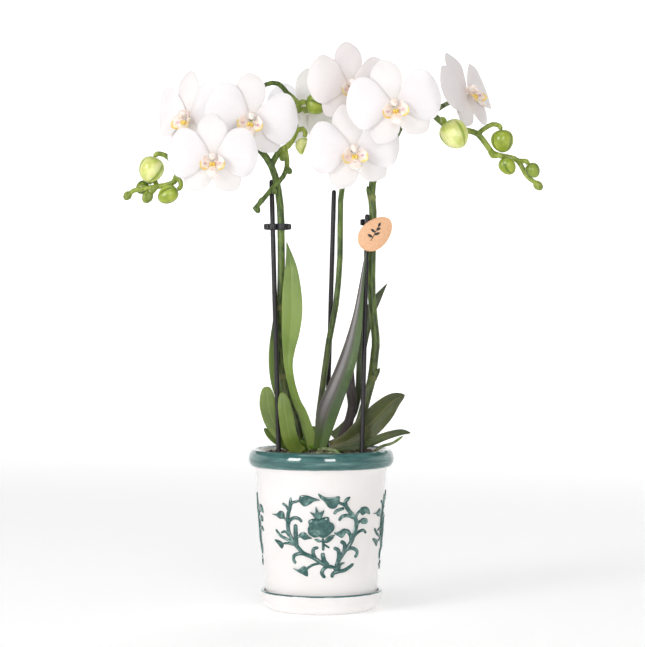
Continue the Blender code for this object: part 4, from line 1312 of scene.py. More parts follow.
@dataclass
class Saucer:
    """The round saucer with a teal line on its lip."""

    floor: float = 4.0
    wall: float = 2.6
    sides: int = 160

    def build(self, pot: Planter) -> None:
        """Turn the saucer around the planter's foot.

        Args:
            pot: The planter that stands on it.
        """
        low, high = solid_box("saucer")
        base, top = low[2], high[2]
        outer = high[0]
        points = solid_points("saucer")
        flat = points[points[:, 2] < base + 0.01]
        base_radius = float(np.hypot(flat[:, 0], flat[:, 1]).max())
        rise_of_side = top - base - 5.0
        rows = [(0.02, base), (base_radius - 3, base)]
        rows += arc(-90, 0, 15, (base_radius, base + rise_of_side), (outer - 0.7 - base_radius, rise_of_side))
        rows += [(outer - 0.15, top - 2.4), (outer, top - 1.3)]
        rows += arc(20, 160, 9, (outer - self.wall / 2, top - 0.9), (self.wall / 2 - 0.1, 0.9))
        inner = outer - self.wall
        rows += [(inner, top - 1.8), (inner - 0.1, top - 4.4)]
        rows += [(inner - 0.9, self.floor + 2.2), (inner - 3.2, self.floor + 0.6)]
        rows += [(pot.foot_radius - 1.0, self.floor), (0.02, self.floor)]
        clay = Clay()
        clay.add_rod(lathe_grid(np.array(rows), self.sides))
        finish = GlazedWare("saucer_glaze", top - 1.35, outer - self.wall * 0.75)
        clay.deliver("saucer_ware", finish.made(), "white_glaze", "saucer")


# ---------------------------------------------------------------- bark and moss


@dataclass
class Potting:
    """The grow pot, the bark and the moss in the planter's mouth."""

    chip_gap: float = 3.4
    chip_lengths: Point = (7.5, 4.6, 2.0)
    chip_lean: float = 0.55
    chip_density: float = 90000.0
    dome: Pair = (0.9, 1.4)
    border: float = 3.2
    tuft_gap: float = 0.55
    tuft_height: float = 1.5
    tuft_lean: float = 0.7
    tuft_density: float = 2.0e6
    chip_sizes: Pair = (0.75, 1.5)
    chip_kinds: int = 6
    seed: int = 11

    def chips(self) -> bpy.types.Collection:
        """A few different chips of some dozens of faces, as helpers for the scatter."""
        store = bpy.data.collections.new("chip_kinds")
        draw = np.random.default_rng(self.seed)
        for kind in range(self.chip_kinds):
            form = bmesh.new()
            bmesh.ops.create_cube(form, size=1.0)
            bmesh.ops.subdivide_edges(form, edges=form.edges, cuts=1, use_grid_fill=True)
            size = Vector(self.chip_lengths) * MM * float(draw.uniform(0.85, 1.15))
            for corner in form.verts:
                corner.co = corner.co.normalized().lerp(corner.co, 0.66)
                corner.co += Vector(draw.uniform(-0.10, 0.10, 3).tolist())
                corner.co = Vector((corner.co.x * size.x, corner.co.y * size.y, corner.co.z * size.z))
            mesh = bpy.data.meshes.new(f"chip_{kind}")
            form.to_mesh(mesh)
            form.free()
            store.objects.link(bpy.data.objects.new(f"chip_{kind}", mesh))
        return store

    def build_chips(self) -> None:
        """Scatter chips over the bark with Geometry Nodes."""
        _, high = solid_box("bark_mix")
        level, reach = high[2], high[0] - self.border
        clay = Clay()
        radii = np.linspace(0.4, reach, 12)[::-1]
        dome = level + self.dome[0] - self.dome[1] * (radii / reach) ** 4
        clay.add_rod(lathe_grid(np.column_stack([radii, dome]), 48))
        piece = clay.cast("bark_chips", BarkChipFinish().made())
        recipe = Recipe("bark_scatter", "Gap", "Smallest", "Largest")
        least = recipe.given("Smallest")
        inputs = {"Collection": self.chips(), "Separate Children": True, "Reset Children": True}
        kinds = recipe.node("GeometryNodeCollectionInfo", {}, inputs)
        lean = self.chip_lean
        leant = recipe.random_vector((-lean, -lean, 0.0), (lean, lean, math.tau), 3)
        inputs = {
            "Points": recipe.spots(self.chip_density, self.seed),
            "Instance": kinds,
            "Pick Instance": True,
            "Rotation": recipe.node("FunctionNodeEulerToRotation", {}, {0: leant}),
            "Scale": recipe.random(0.0, 1.0, 5) * (recipe.given("Largest") - least) + least,
        }
        laid = recipe.node("GeometryNodeInstanceOnPoints", {}, inputs)
        recipe.close(recipe.stored(laid, "INSTANCE", "tone", recipe.random(0.0, 0.95, 7)))
        smallest, largest = self.chip_sizes
        material = piece.data.materials[0]
        recipe.run(piece, Gap=self.chip_gap * MM, Smallest=smallest, Largest=largest, Finish=material)
        deliver(piece, "bark")
        for helper in list(bpy.data.collections["chip_kinds"].objects):
            bpy.data.objects.remove(helper, do_unlink=True)

    def build_moss(self) -> None:
        """A soft uneven pillow of moss with short tufts scattered on it."""
        low, high = solid_box("moss")
        middle, half = (low + high) / 2, (high - low) / 2
        clay = Clay()
        rings = []
        around = np.linspace(0, math.tau, 56, endpoint=False)
        for angle in np.linspace(-20, 88, 18):
            turn = math.radians(angle)
            wobble = 1 + 0.07 * np.sin(3 * around + 1) + 0.05 * np.sin(7 * around + 2 * turn)
            x = middle[0] + half[0] * math.cos(turn) * np.cos(around) * wobble
            y = middle[1] + half[1] * math.cos(turn) * np.sin(around) * wobble
            z = low[2] + 2 * half[2] * math.sin(turn) * (1 + 0.10 * np.sin(5 * around + 3 * turn)) * 0.92
            rings.append(np.stack([x, y, z], -1))
        clay.add_rod(np.array(rings))
        finish = MossFinish().made()
        pillow = clay.cast("moss_pillow", finish)
        tidy_mesh(pillow)
        tufts = put("moss_tufts", pillow.data.copy())
        recipe = Recipe("moss_scatter", "Gap", "Blade")
        spots = recipe.spots(self.tuft_density, self.seed)
        tall = recipe.given("Blade")
        inputs = {"Vertices": 4, "Radius Top": 0.0, "Radius Bottom": tall * 0.16, "Depth": tall}
        blade = recipe.node("GeometryNodeMeshCone", {"fill_type": "NGON"}, inputs)
        facing = Wire(recipe, spots.socket.node.outputs["Rotation"])
        lean = self.tuft_lean
        leant = recipe.random_vector((-lean, -lean, 0), (lean, lean, 6.0), 9)
        leant = recipe.node("FunctionNodeEulerToRotation", {}, {0: leant})
        turn = recipe.node("FunctionNodeRotateRotation", {"rotation_space": "LOCAL"}, {0: facing, 1: leant})
        inputs = {"Points": spots, "Instance": blade, "Rotation": turn, "Scale": recipe.random(0.6, 1.3, 4)}
        laid = recipe.node("GeometryNodeInstanceOnPoints", {}, inputs)
        recipe.close(laid)
        recipe.run(tufts, Gap=self.tuft_gap * MM, Blade=self.tuft_height * MM, Finish=finish)
        deliver(pillow, "moss", "moss")
        deliver(tufts, "moss")

    def dress(self) -> None:
        """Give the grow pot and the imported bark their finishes."""
        plastic = Moulded("grow_pot_black", tint(34, 33, 32), tint(58, 56, 54), 0.45).made()
        bark = BarkChipFinish("bark_core").made()
        for node, material in (("grow_pot", plastic), ("bark_mix", bark)):
            held = frame["nodes"][node].data.materials
            held.clear()
            held.append(material)


# ---------------------------------------------------------------- blades


@dataclass(frozen=True)
class Blade:
    """A thin living blade along a midrib, with a half-width to each side of it."""

    route: tuple[Point, ...]
    left: tuple[float, ...]
    right: tuple[float, ...]
    face: Point = (0.0, 0.0, 1.0)
    fold: float = 0.0
    cup: float = 0.0
    ruffle: float = 0.0
    ruffles: float = 2.5
    phase: float = 0.0
    thickness: float = 0.7
    tip: Pair = (7.0, 0.5)
    steps: tuple[int, int] = (36, 22)

    def sheet(self) -> tuple[Array, Array, Array, Array]:
        """The blade's middle sheet.

        Returns:
            Its corners, thickness, share along and share across, each as rows and columns.
        """
        rows, columns = self.steps
        along = (1 - np.cos(math.pi * np.linspace(0, 1, rows))) / 2
        across = np.sin(math.pi / 2 * np.linspace(-1, 1, columns))
        spine = through(np.array(self.route, float), along)
        ways = unit(np.gradient(spine, axis=0))
        sides = unit(np.cross(ways, np.array(self.face, float)))
        fronts = np.cross(sides, ways)
        closing = np.maximum(1 - along ** self.tip[0], 0) ** self.tip[1]
        left = np.maximum(through(self.left, along) * closing, 0.06)
        right = np.maximum(through(self.right, along) * closing, 0.06)
        u, v = np.meshgrid(along, across, indexing="ij")
        half = np.where(v < 0, left[:, None], right[:, None])
        size = np.abs(v)
        lift = self.fold * half * (np.sqrt(size**2 + 0.02) - 0.14) + self.cup * half * size**2
        wave = np.sin(math.tau * self.ruffles * u + self.phase + np.where(v < 0, 1.9, 0.0))
        lift = lift + self.ruffle * wave * size**3 * np.sin(math.pi * np.clip(u, 0.05, 1)) ** 0.7
        grid = spine[:, None, :] + sides[:, None, :] * (half * v)[..., None]
        grid = grid + fronts[:, None, :] * lift[..., None]
        thick = self.thickness * (1 - 0.72 * size**4) * (1 - 0.5 * u**6)
        return grid, thick, u, v

    def add_to(self, clay: Clay, place: "Attitude | None" = None, **marks: float) -> None:
        """Add the blade to some clay.

        Args:
            clay: Where it goes.
            place: The frame that its points are in, if not the object's.
            **marks: A number for each mark over the whole blade.
        """
        grid, thick, _, _ = self.sheet()
        if place is not None:
            grid = place.out(grid)
            thick = thick * place.size
        clay.add_skin(grid, thick, **marks)


@dataclass(frozen=True)
class Attitude:
    """A flower's middle, its three directions and its size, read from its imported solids."""

    centre: Array
    right: Array
    up: Array
    forward: Array
    size: float

    SPAN = 69.93
    BELOW = 0.84
    BEFORE = 0.75

    @classmethod
    def of(cls, name: str) -> "Attitude":
        """Read a flower's petal plate and lip.

        Args:
            name: The flower's name.

        Returns:
            Its attitude.
        """
        plate = solid_points(f"flower_{name}_petals")
        lip = solid_points(f"flower_{name}_lip")
        middle = plate.mean(axis=0)
        _, axes = np.linalg.eigh(np.cov((plate - middle).T))
        forward, up = axes[:, 0], axes[:, 1]
        to_lip = lip.mean(axis=0) - middle
        forward = forward * np.sign(forward @ to_lip)
        up = -up * np.sign(up @ to_lip)
        right = np.cross(up, forward)
        size = float(np.ptp((plate - middle) @ right)) / cls.SPAN
        return cls(middle - cls.BELOW * size * up + cls.BEFORE * forward, right, up, forward, size)

    def out(self, points: Array) -> Array:
        """Points from the flower's own frame, in the plant's."""
        turned = points[..., :1] * self.right + points[..., 1:2] * self.up + points[..., 2:] * self.forward
        return self.centre + turned * self.size


# ---------------------------------------------------------------- leaves and roots


class Tone(Enum):
    """The colours that the leaves are finished in: face, deep and edge."""

    TALL = (tint(120, 144, 58), tint(84, 112, 34), tint(160, 178, 104))
    BACK = (tint(104, 130, 52), tint(70, 92, 32), tint(150, 164, 104))
    YOUNG = (tint(118, 138, 56), tint(86, 110, 36), tint(150, 166, 90))
    # Greens of the big blade whose underside strip carries a painted reflection streak.
    SILVER = (tint(66, 92, 36), tint(42, 64, 22), tint(116, 138, 82))
    DARK = (tint(74, 88, 34), tint(38, 52, 18), tint(110, 124, 60))
    BROAD = (tint(82, 88, 34), tint(52, 62, 22), tint(136, 124, 84))
    # The darkest tone, for the narrow dark leaf beside the crown.
    PLUM = (tint(72, 58, 56), tint(44, 36, 34), tint(104, 92, 84))


@dataclass(frozen=True)
class LeafShape:
    """One strap leaf, from the middle of the bark's top."""

    name: str
    midrib: tuple[Point, ...]
    widths: tuple[float, ...]
    fold: float
    tone: Tone
    point: float = 1.0
    underside_sheen: float = 0.0


@dataclass
class Foliage:
    """The leaves, the crown and the roots."""

    thickness: float = 1.7
    crown_depth: float = 3.0
    root_taper: float = 0.25
    root_knobs: float = 0.05
    leaf_bases: tuple[Point, ...] = ((200, 8, 13), (330, 7, 11), (150, 6, 16), (20, 6, 12), (265, 8, 9))
    leaves: tuple[LeafShape, ...] = (
        LeafShape(
            "tall_left",
            ((-5.5, -9, 5), (-13.5, -12.5, 31), (-18.3, -14, 41), (-22.1, -15.5, 54), (-24.5, -17, 68),
              (-24.3, -17, 80),
             (-23, -17, 93), (-21.9, -16.5, 108), (-22, -15.5, 124), (-22.8, -14, 143), (-26, -13, 161.5)),
            (9, 6.8, 6.2, 5.6, 6.2, 9, 13.2, 15.6, 15.2, 10.8, 3), 0.25, Tone.TALL,
        ),
        LeafShape(
            "back_left",
            ((-12, 9.6, 12), (-18, 10.5, 24), (-27, 10.5, 38), (-33, 10, 56), (-34.6, 10, 76),
              (-33.5, 10, 100), (-33, 10, 122)),
            (8, 9, 10, 11, 11, 8, 3), 0.25, Tone.BACK,
        ),
        LeafShape(
            "short_left",
            ((-17.5, -9, 6), (-27, -6.5, 13), (-35.6, -3.5, 24), (-40, -2, 38), (-41.6, -1.5, 52)),
            (6, 9, 12.5, 13.5, 10), 0.15, Tone.YOUNG, 0.6,
        ),
        LeafShape(
            "short_front_left",
            ((-15, -15, 3.4), (-20.5, -18, 8.6), (-24.1, -20.5, 17), (-26.2, -21.5, 30), (-28, -21.5, 41),
              (-29.5, -21, 48.5)),
            (8, 10.5, 11.6, 11, 9.5, 6), 0.15, Tone.YOUNG, 0.6,
        ),
        LeafShape(
            "stub_left",
            ((-16.5, 5, 4), (-28, 6.5, 8), (-37, 6.5, 14), (-43.5, 6, 20)),
            (5, 7, 7, 4), 0.1, Tone.BACK,
        ),
        LeafShape(
            "large_right",
            ((-1.5, -9.5, 5), (4.8, -14.5, 33), (11.7, -17, 51), (18.2, -19, 68), (23.2, -19, 85.5),
              (27.4, -18, 107),
             (30.3, -17, 129), (33.6, -16, 154.5)),
            (9, 15.5, 14.8, 13.6, 11, 7.2, 4.4, 2.6), 0.4, Tone.SILVER, 1.0, 0.56,
        ),
        LeafShape(
            "back_right",
            ((8.6, 6, 13.6), (17.7, 8, 22), (24.3, 9.5, 31), (27.3, 10, 41), (28.5, 10.5, 51), (29.2, 10.5, 64),
             (30.4, 10.5, 77.5), (32.8, 10.5, 94), (36.6, 10.5, 107.5), (42.2, 10, 118.3), (50, 10, 130)),
            (7, 6, 5, 4.8, 4.8, 5.2, 6.8, 8.8, 9, 8, 3), 0.25, Tone.DARK,
        ),
        LeafShape(
            "broad_right",
            ((6.5, -9, 8), (20, -10.5, 12), (33, -12, 21), (45, -13.5, 33), (54, -14, 42), (62.5, -14, 46.5)),
            (7, 12, 18, 18, 13, 7), 0.2, Tone.BROAD,
        ),
        LeafShape(
            "thin_right",
            ((5, -12, 4), (18, -14.2, 6.5), (33.4, -15, 9.5), (46, -15.5, 14.7), (58.8, -15.5, 18.4),
             (67, -15.5, 18)),
            (4, 5, 6, 6, 5, 3), 0.1, Tone.DARK,
        ),
        LeafShape(
            "dark_right",
            ((4.6, 2.8, 4), (12, 4, 8), (19, 5, 20), (23.2, 5.5, 36), (22.5, 5.5, 50), (24, 5.5, 66)),
            (3, 5, 7, 6.6, 7.4, 3), 0.1, Tone.PLUM,
        ),
    )
    roots: tuple[tuple[str, tuple[Point, ...], float], ...] = (
        ("root_arching", ((38, -7, 1.8), (42, -7.5, 4.8), (46, -8, 7.5), (54, -8, 10), (61.5, -8, 15)), 1.3),
        ("root_stub", ((-2, -11, 4), (3, -15.5, 5.5), (9, -19, 5), (14, -22, 2.6)), 2.0),
    )

    def __post_init__(self) -> None:
        """Read the height of the bark's top."""
        self.level = float(solid_box("bark_mix")[1][2])

    def build_leaves(self) -> None:
        """Shape every leaf in the place of its solid."""
        for index, leaf in enumerate(self.leaves):
            half = tuple(width / 2 for width in leaf.widths)
            blade = Blade(
                route=tuple((x, y, z + self.level) for x, y, z in leaf.midrib),
                left=half,
                right=half,
                face=(0.0, -1.0, 0.0),
                fold=leaf.fold,
                ruffle=0.5,
                ruffles=2.0,
                phase=index * 1.3,
                thickness=self.thickness,
                tip=(9.0, leaf.point / 2),
                steps=(84, 24),
            )
            clay = Clay()
            blade.add_to(clay)
            finish = LeafFinish(f"leaf_skin_{leaf.name}", *leaf.tone.value, leaf.underside_sheen).made()
            clay.deliver(f"blade_{leaf.name}", finish, "leaf_green", f"leaf_{leaf.name}", clean=False)

    def build_crown(self) -> None:
        """The short stem, wrapped by overlapping leaf bases."""
        low, high = solid_box("crown")
        middle = (low + high) / 2
        radius = (high[0] - low[0]) / 2
        clay = Clay()
        shares = np.linspace(0, 1, 22)
        swell = 0.62 + 0.38 * np.sin(math.pi * (0.1 + shares * 0.9))
        radii = radius * swell * np.sqrt(np.maximum(1 - shares**5, 0.002))
        foot = self.level - self.crown_depth
        rings = lathe_grid(np.column_stack([radii, foot + shares * (high[2] - foot)]), 40)
        rings[..., :2] += middle[:2]
        clay.add_rod(rings)
        for angle, reach, height in self.leaf_bases:
            turn = math.radians(angle)
            out = np.array([math.cos(turn), math.sin(turn)])
            start = middle[:2] + out * radius * 0.35
            stop = middle[:2] + out * (radius + reach * 0.2)
            spots = (start, start * 0.4 + stop * 0.6, stop, stop + out)
            lifts = (-1.0, height * 0.3, height * 0.75, height)
            route = tuple((*spot, self.level + lift) for spot, lift in zip(spots, lifts))
            half = (6.0, 6.6, 5.0, 2.5)
            base = Blade(
                route, half, half, (out[0], out[1], 0.2), cup=-0.55, thickness=1.5, tip=(5.0, 0.5), steps=(22, 16)
            )
            base.add_to(clay)
        finish = LeafFinish("crown_skin", tint(112, 146, 44), tint(70, 104, 24), tint(146, 172, 80)).made()
        clay.deliver("crown_stem", finish, "crown_green", "crown", clean=False)

    def build_roots(self) -> None:
        """Two air roots with blunt ends."""
        finish = RootFinish().made()
        for name, knots, radius in self.roots:
            shares = np.linspace(0, 1, 48)
            route = through(np.array(knots, float) + [0, 0, self.level], shares)
            radii = radius * (1 - self.root_taper * shares) * np.sqrt(np.maximum(1 - shares**16, 0.01))
            radii *= 1 + self.root_knobs * np.sin(shares * 31)
            clay = Clay()
            clay.add_rod(rod_grid(route, radii, 20))
            clay.deliver(f"air_{name}", finish, "root", name, clean=False)


# ---------------------------------------------------------------- stakes, clips and tag


@dataclass
class Supports:
    """Stakes, clips and the name tag."""

    stakes: tuple[str, ...] = ("left", "centre", "right")
    clip_height: float = 4.8
    clip_wall: float = 1.2
    stake_hole: float = 2.45
    spike_hole: float = 3.1
    wing: float = 4.2
    wing_thickness: float = 1.1
    card_bevel: float = 0.15
    sprig_stem: tuple[Pair, ...] = ((-3.2, -5.0), (-1.0, -1.6), (0.6, 2.0), (2.6, 5.6))
    sprig_leaves: tuple[tuple[Pair, float, float], ...] = (
        ((-1.6, -2.4), 150, 4.6),
        ((-0.6, -0.6), 20, 4.8),
        ((0.2, 1.2), 140, 4.2),
        ((1.0, 3.0), 25, 3.8),
        ((2.6, 5.4), 64, 3.6),
    )

    def axis(self, name: str) -> tuple[Array, Array]:
        """Read a stake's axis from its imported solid.

        Args:
            name: Which stake.

        Returns:
            Its lower and upper end.
        """
        points = solid_points(f"stake_{name}")
        foot = points[points[:, 2] < points[:, 2].min() + 0.8].mean(axis=0)
        head = points[points[:, 2] > points[:, 2].max() - 0.8].mean(axis=0)
        return foot, head

    def build_stakes(self) -> None:
        """Round rods with a moulded grain and soft ends."""
        finish = Moulded("stake_rod", tint(24, 21, 22), tint(50, 42, 44), 0.4, 0.12, 0.3).made()
        for name in self.stakes:
            foot, head = self.axis(name)
            off = solid_points(f"stake_{name}") - foot
            way = unit(head - foot)
            radius = float(np.median(np.linalg.norm(off - (off @ way)[:, None] * way, axis=1)))
            shares = np.concatenate([[0, 0.004, 0.02], np.linspace(0.03, 0.985, 26), [0.992, 0.997, 1.0]])
            route = foot + (head - foot) * shares[:, None]
            radii = np.full(len(shares), radius)
            radii[:3] = radius * np.array([0.25, 0.5, 0.85])
            radii[-3:] = radius * np.array([0.96, 0.82, 0.45])
            radii[3:-3] *= 1 + 0.02 * np.sin(np.arange(26) * 1.7)
            clay = Clay()
            clay.add_rod(rod_grid(route, radii, 24))
            clay.deliver(f"stake_rod_{name}", finish, "stake_plastic", f"stake_{name}", clean=False)

    def build_clips(self) -> None:
        """Two-ringed clips with a wing at each end, softened at every edge."""
        finish = Moulded("clip_moulded", tint(22, 21, 25), tint(40, 38, 44), 0.35, 0.03, 0.35).made()
        for side in ("left", "right"):
            points = solid_points(f"clip_{side}")
            low, high = solid_box(f"clip_{side}")
            middle = (low + high) / 2
            _, axes = np.linalg.eigh(np.cov((points - middle)[:, :2].T))
            along = axes[:, 1]
            reach = np.abs((points - middle)[:, :2] @ along).max()
            stake_foot, stake_head = self.axis(side)
            share = (middle[2] - stake_foot[2]) / (stake_head[2] - stake_foot[2])
            held = (stake_foot + (stake_head - stake_foot) * share)[:2]
            other = 2 * middle[:2] - held
            clay = Clay()
            for spot, inner in ((held, self.stake_hole), (other, self.spike_hole)):
                outer = inner + self.clip_wall
                corners = [(inner, low[2], 0), (outer, low[2], 0.4), (outer, high[2], 0.4)]
                corners += [(inner, high[2], 0.4), (inner, low[2], 0)]
                rings = lathe_grid(rounded(corners), 36)
                rings[..., :2] += spot
                clay.add_tube(rings)
            across = np.array([-along[1], along[0]])
            for sign in (-1, 1):
                start = middle[:2] + along * sign * (reach - self.wing)
                stop = middle[:2] + along * sign * reach
                rows = []
                levels = np.linspace(-1, 1, 7)
                for share in np.linspace(0, 1, 9):
                    spot = start + (stop - start) * share + across * 0.5 * math.sin(share * 3.0)
                    half = self.clip_height / 2 * (1 - 0.25 * share**3)
                    rows.append([(spot[0], spot[1], middle[2] + half * level) for level in levels])
                sheet = np.array(rows)
                clay.add_skin(sheet, np.full(sheet.shape[:2], self.wing_thickness))
            clay.deliver(f"clip_moulded_{side}", finish, "clip_plastic", f"clip_{side}")

    def build_tag(self) -> None:
        """The egg-shaped card, which carries the sprig."""
        low, high = solid_box("name_tag")
        front, back = low[1], high[1]
        points = solid_points("name_tag")[:, ::2]
        centre = (points.min(axis=0) + points.max(axis=0)) / 2
        off = points - centre
        order = np.unique(np.round(np.arctan2(off[:, 1], off[:, 0]), 3), return_index=True)[1]
        ring = points[order]
        edge = through(np.concatenate([ring, ring[:1]]), np.linspace(0, 1, 97))[:-1]
        sizes = (0.02, 0.985, 1.0, 1.0, 0.985, 0.02)
        depths = (front, front, front + self.card_bevel, back - self.card_bevel, back, back)
        rings = []
        for size, depth in zip(sizes, depths):
            flat = centre + (edge - centre) * size
            rings.append(np.column_stack([flat[:, 0], np.full(len(flat), depth), flat[:, 1]]))
        clay = Clay()
        clay.add_rod(np.array(rings))
        clay.deliver("tag_drop", CardFinish().made(), "tag_card", "name_tag")
        self.build_sprig(centre, front)

    def build_sprig(self, centre: Array, front: float) -> None:
        """The printed sprig: a stem and five leaves lying on the card.

        Args:
            centre: Middle of the card, as distance right and up.
            front: Depth of its front face.
        """
        clay = Clay()
        line = centre + through(self.sprig_stem, np.linspace(0, 1, 24))
        route = np.column_stack([line[:, 0], np.full(24, front - 0.02), line[:, 1]])
        clay.add_rod(rod_grid(route, np.full(24, 0.28), 8))
        half = (0.2, 0.95, 0.9, 0.3)
        for start, angle, length in self.sprig_leaves:
            turn = math.radians(angle)
            way = np.array([math.cos(turn), math.sin(turn)]) * length
            ends = [centre + start + way * share for share in (0, 0.35, 0.7, 1.0)]
            route = tuple((end[0], front - 0.05, end[1]) for end in ends)
            Blade(route, half, half, (0, -1, 0), thickness=0.3, tip=(6, 0.5), steps=(14, 8)).add_to(clay)
        ink = Moulded("tag_ink", tint(40, 34, 30), tint(62, 52, 46), 0.6).made()
        clay.deliver("tag_sprig", ink, "tag_card", clean=False)


# ---------------------------------------------------------------- spikes


@dataclass
class Spikes:
    """The three flower spikes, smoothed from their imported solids, with a ring and a bract at some nodes."""

    voxel: float = 0.42
    softening: int = 4
    swelling: float = 0.38
    ring_reach: float = 2.4
    ring_mark: Pair = (2.2, 4.4)
    fresh_mark: Pair = (9.0, 24.0)
    window: float = 9.0
    stem_reach: float = 6.0
    fewest: int = 12
    bract: tuple[Pair, ...] = ((0, 0.0), (3.0, 0.5), (6.0, 0.9), (8.6, 0.7))
    nodes: tuple[tuple[str, tuple[float, ...]], ...] = (("left", (60, -112)), ("centre", ()), ("right", (59, -195)))

    def build(self, ends: list[Array]) -> None:
        """Grow each spike.

        Args:
            ends: Middles of the flowers and buds, near which the stalks are fresher.
        """
        level = float(solid_box("bark_mix")[1][2])
        finish = StemFinish().made()
        for side, heights in self.nodes:
            mesh = frame["nodes"][f"spike_{side}"].data.copy()
            piece = put(f"stem_{side}", mesh)
            mesh.materials.clear()
            tidy_mesh(piece, 1e-5)
            rings = self.ring_places(solid_points(f"spike_{side}"), level, heights)
            self.add_rings(piece, rings)
            remesh = piece.modifiers.new("skin", "REMESH")
            remesh.mode = "VOXEL"
            remesh.voxel_size = self.voxel * MM
            smooth = piece.modifiers.new("soft", "SMOOTH")
            smooth.factor = 0.5
            smooth.iterations = self.softening
            swell = piece.modifiers.new("swell", "DISPLACE")
            swell.mid_level = 0.0
            swell.strength = self.swelling * MM
            settle(piece)
            piece.data.materials.append(finish)
            self.mark(piece, ends, [middle for middle, _, _, _ in rings])
            piece.data.shade_smooth()
            deliver(piece, "stem_green", f"spike_{side}")

    def ring_places(self, points: Array, level: float, heights: tuple[float, ...]) -> list[tuple]:
        """Where the stem's nodes are.

        Args:
            points: Corners of the spike's solid.
            level: Height of the bark's top.
            heights: Height of each node over it, negative where the bract sits on the left.

        Returns:
            Middle, direction, radius and side of each node that the stem reaches.
        """
        found = []
        for signed in heights:
            height = abs(signed) + level
            near = points[np.abs(points[:, 2] - height) < self.window]
            if len(near) < self.fewest:
                continue
            close = near[np.abs(near[:, 0] - np.median(near[:, 0])) < self.stem_reach]
            upper, lower = close[close[:, 2] > height], close[close[:, 2] <= height]
            if min(len(upper), len(lower)) < self.fewest / 3:
                continue
            top, bottom = upper.mean(axis=0), lower.mean(axis=0)
            way = unit(top - bottom)
            middle = bottom + way * (height - bottom[2]) / max(way[2], 0.2)
            off = close - middle
            reach = np.linalg.norm(off - (off @ way)[:, None] * way, axis=1)
            found.append((middle, way, float(np.median(reach)), math.copysign(1.0, signed)))
        return found

    def add_rings(self, piece: bpy.types.Object, rings: list[tuple]) -> None:
        """Add a swollen ring and a clasping bract at each node, to be taken up by the remesh.

        Args:
            piece: The spike.
            rings: What ring_places found.
        """
        clay = Clay()
        steps = np.linspace(-self.ring_reach, self.ring_reach, 9)
        for middle, way, radius, hand in rings:
            swell = radius * (1 + 0.24 * np.exp(-((steps / 1.1) ** 2))) - 0.1
            clay.add_rod(rod_grid(middle + way * steps[:, None], swell, 20))
            side = unit(np.cross([0.0, 1.0, 0.0], way)) * hand + np.array([0, -0.6, 0])
            side = unit(side - way * (side @ way))
            start = middle + side * (radius - 0.3)
            knots = tuple(tuple(start + way * up + side * out) for up, out in self.bract)
            half = (radius * 1.0, radius * 1.1, radius * 0.85, 0.6)
            bract = Blade(
                knots, half, half, tuple(side), cup=-0.55, thickness=1.0, tip=(5, 0.6), steps=(16, 12)
            )
            bract.add_to(clay)
        if not clay.count:
            return
        extra = clay.cast("node_rings", None)
        form = bmesh.new()
        form.from_mesh(piece.data)
        form.from_mesh(extra.data)
        form.to_mesh(piece.data)
        form.free()
        bpy.data.objects.remove(extra, do_unlink=True)

    def mark(self, piece: bpy.types.Object, ends: list[Array], rings: list[Array]) -> None:
        """Store on a spike how near each corner is to a bud or flower, and to a node.

        Args:
            piece: The spike.
            ends: Middles of the flowers and buds.
            rings: Middles of the nodes.
        """
        points = corners_of(piece.data)
        fresh = np.zeros(len(points))
        for end in ends:
            fresh = np.maximum(fresh, 1 - rise(np.linalg.norm(points - end, axis=1), *self.fresh_mark))
        ring = np.zeros(len(points))
        for spot in rings:
            ring = np.maximum(ring, 1 - rise(np.linalg.norm(points - spot, axis=1), *self.ring_mark))
        set_mark(piece.data, "fresh", fresh)
        set_mark(piece.data, "ring", ring)


# ---------------------------------------------------------------- buds


@dataclass(frozen=True)
class BudShape:
    """A bud: its direction to the tip, its finish and how it bends."""

    name: str
    axis: Point
    skin: BudFinish
    bend: float = 0.0
    seam: float = 0.055
    turn: float = 0.6


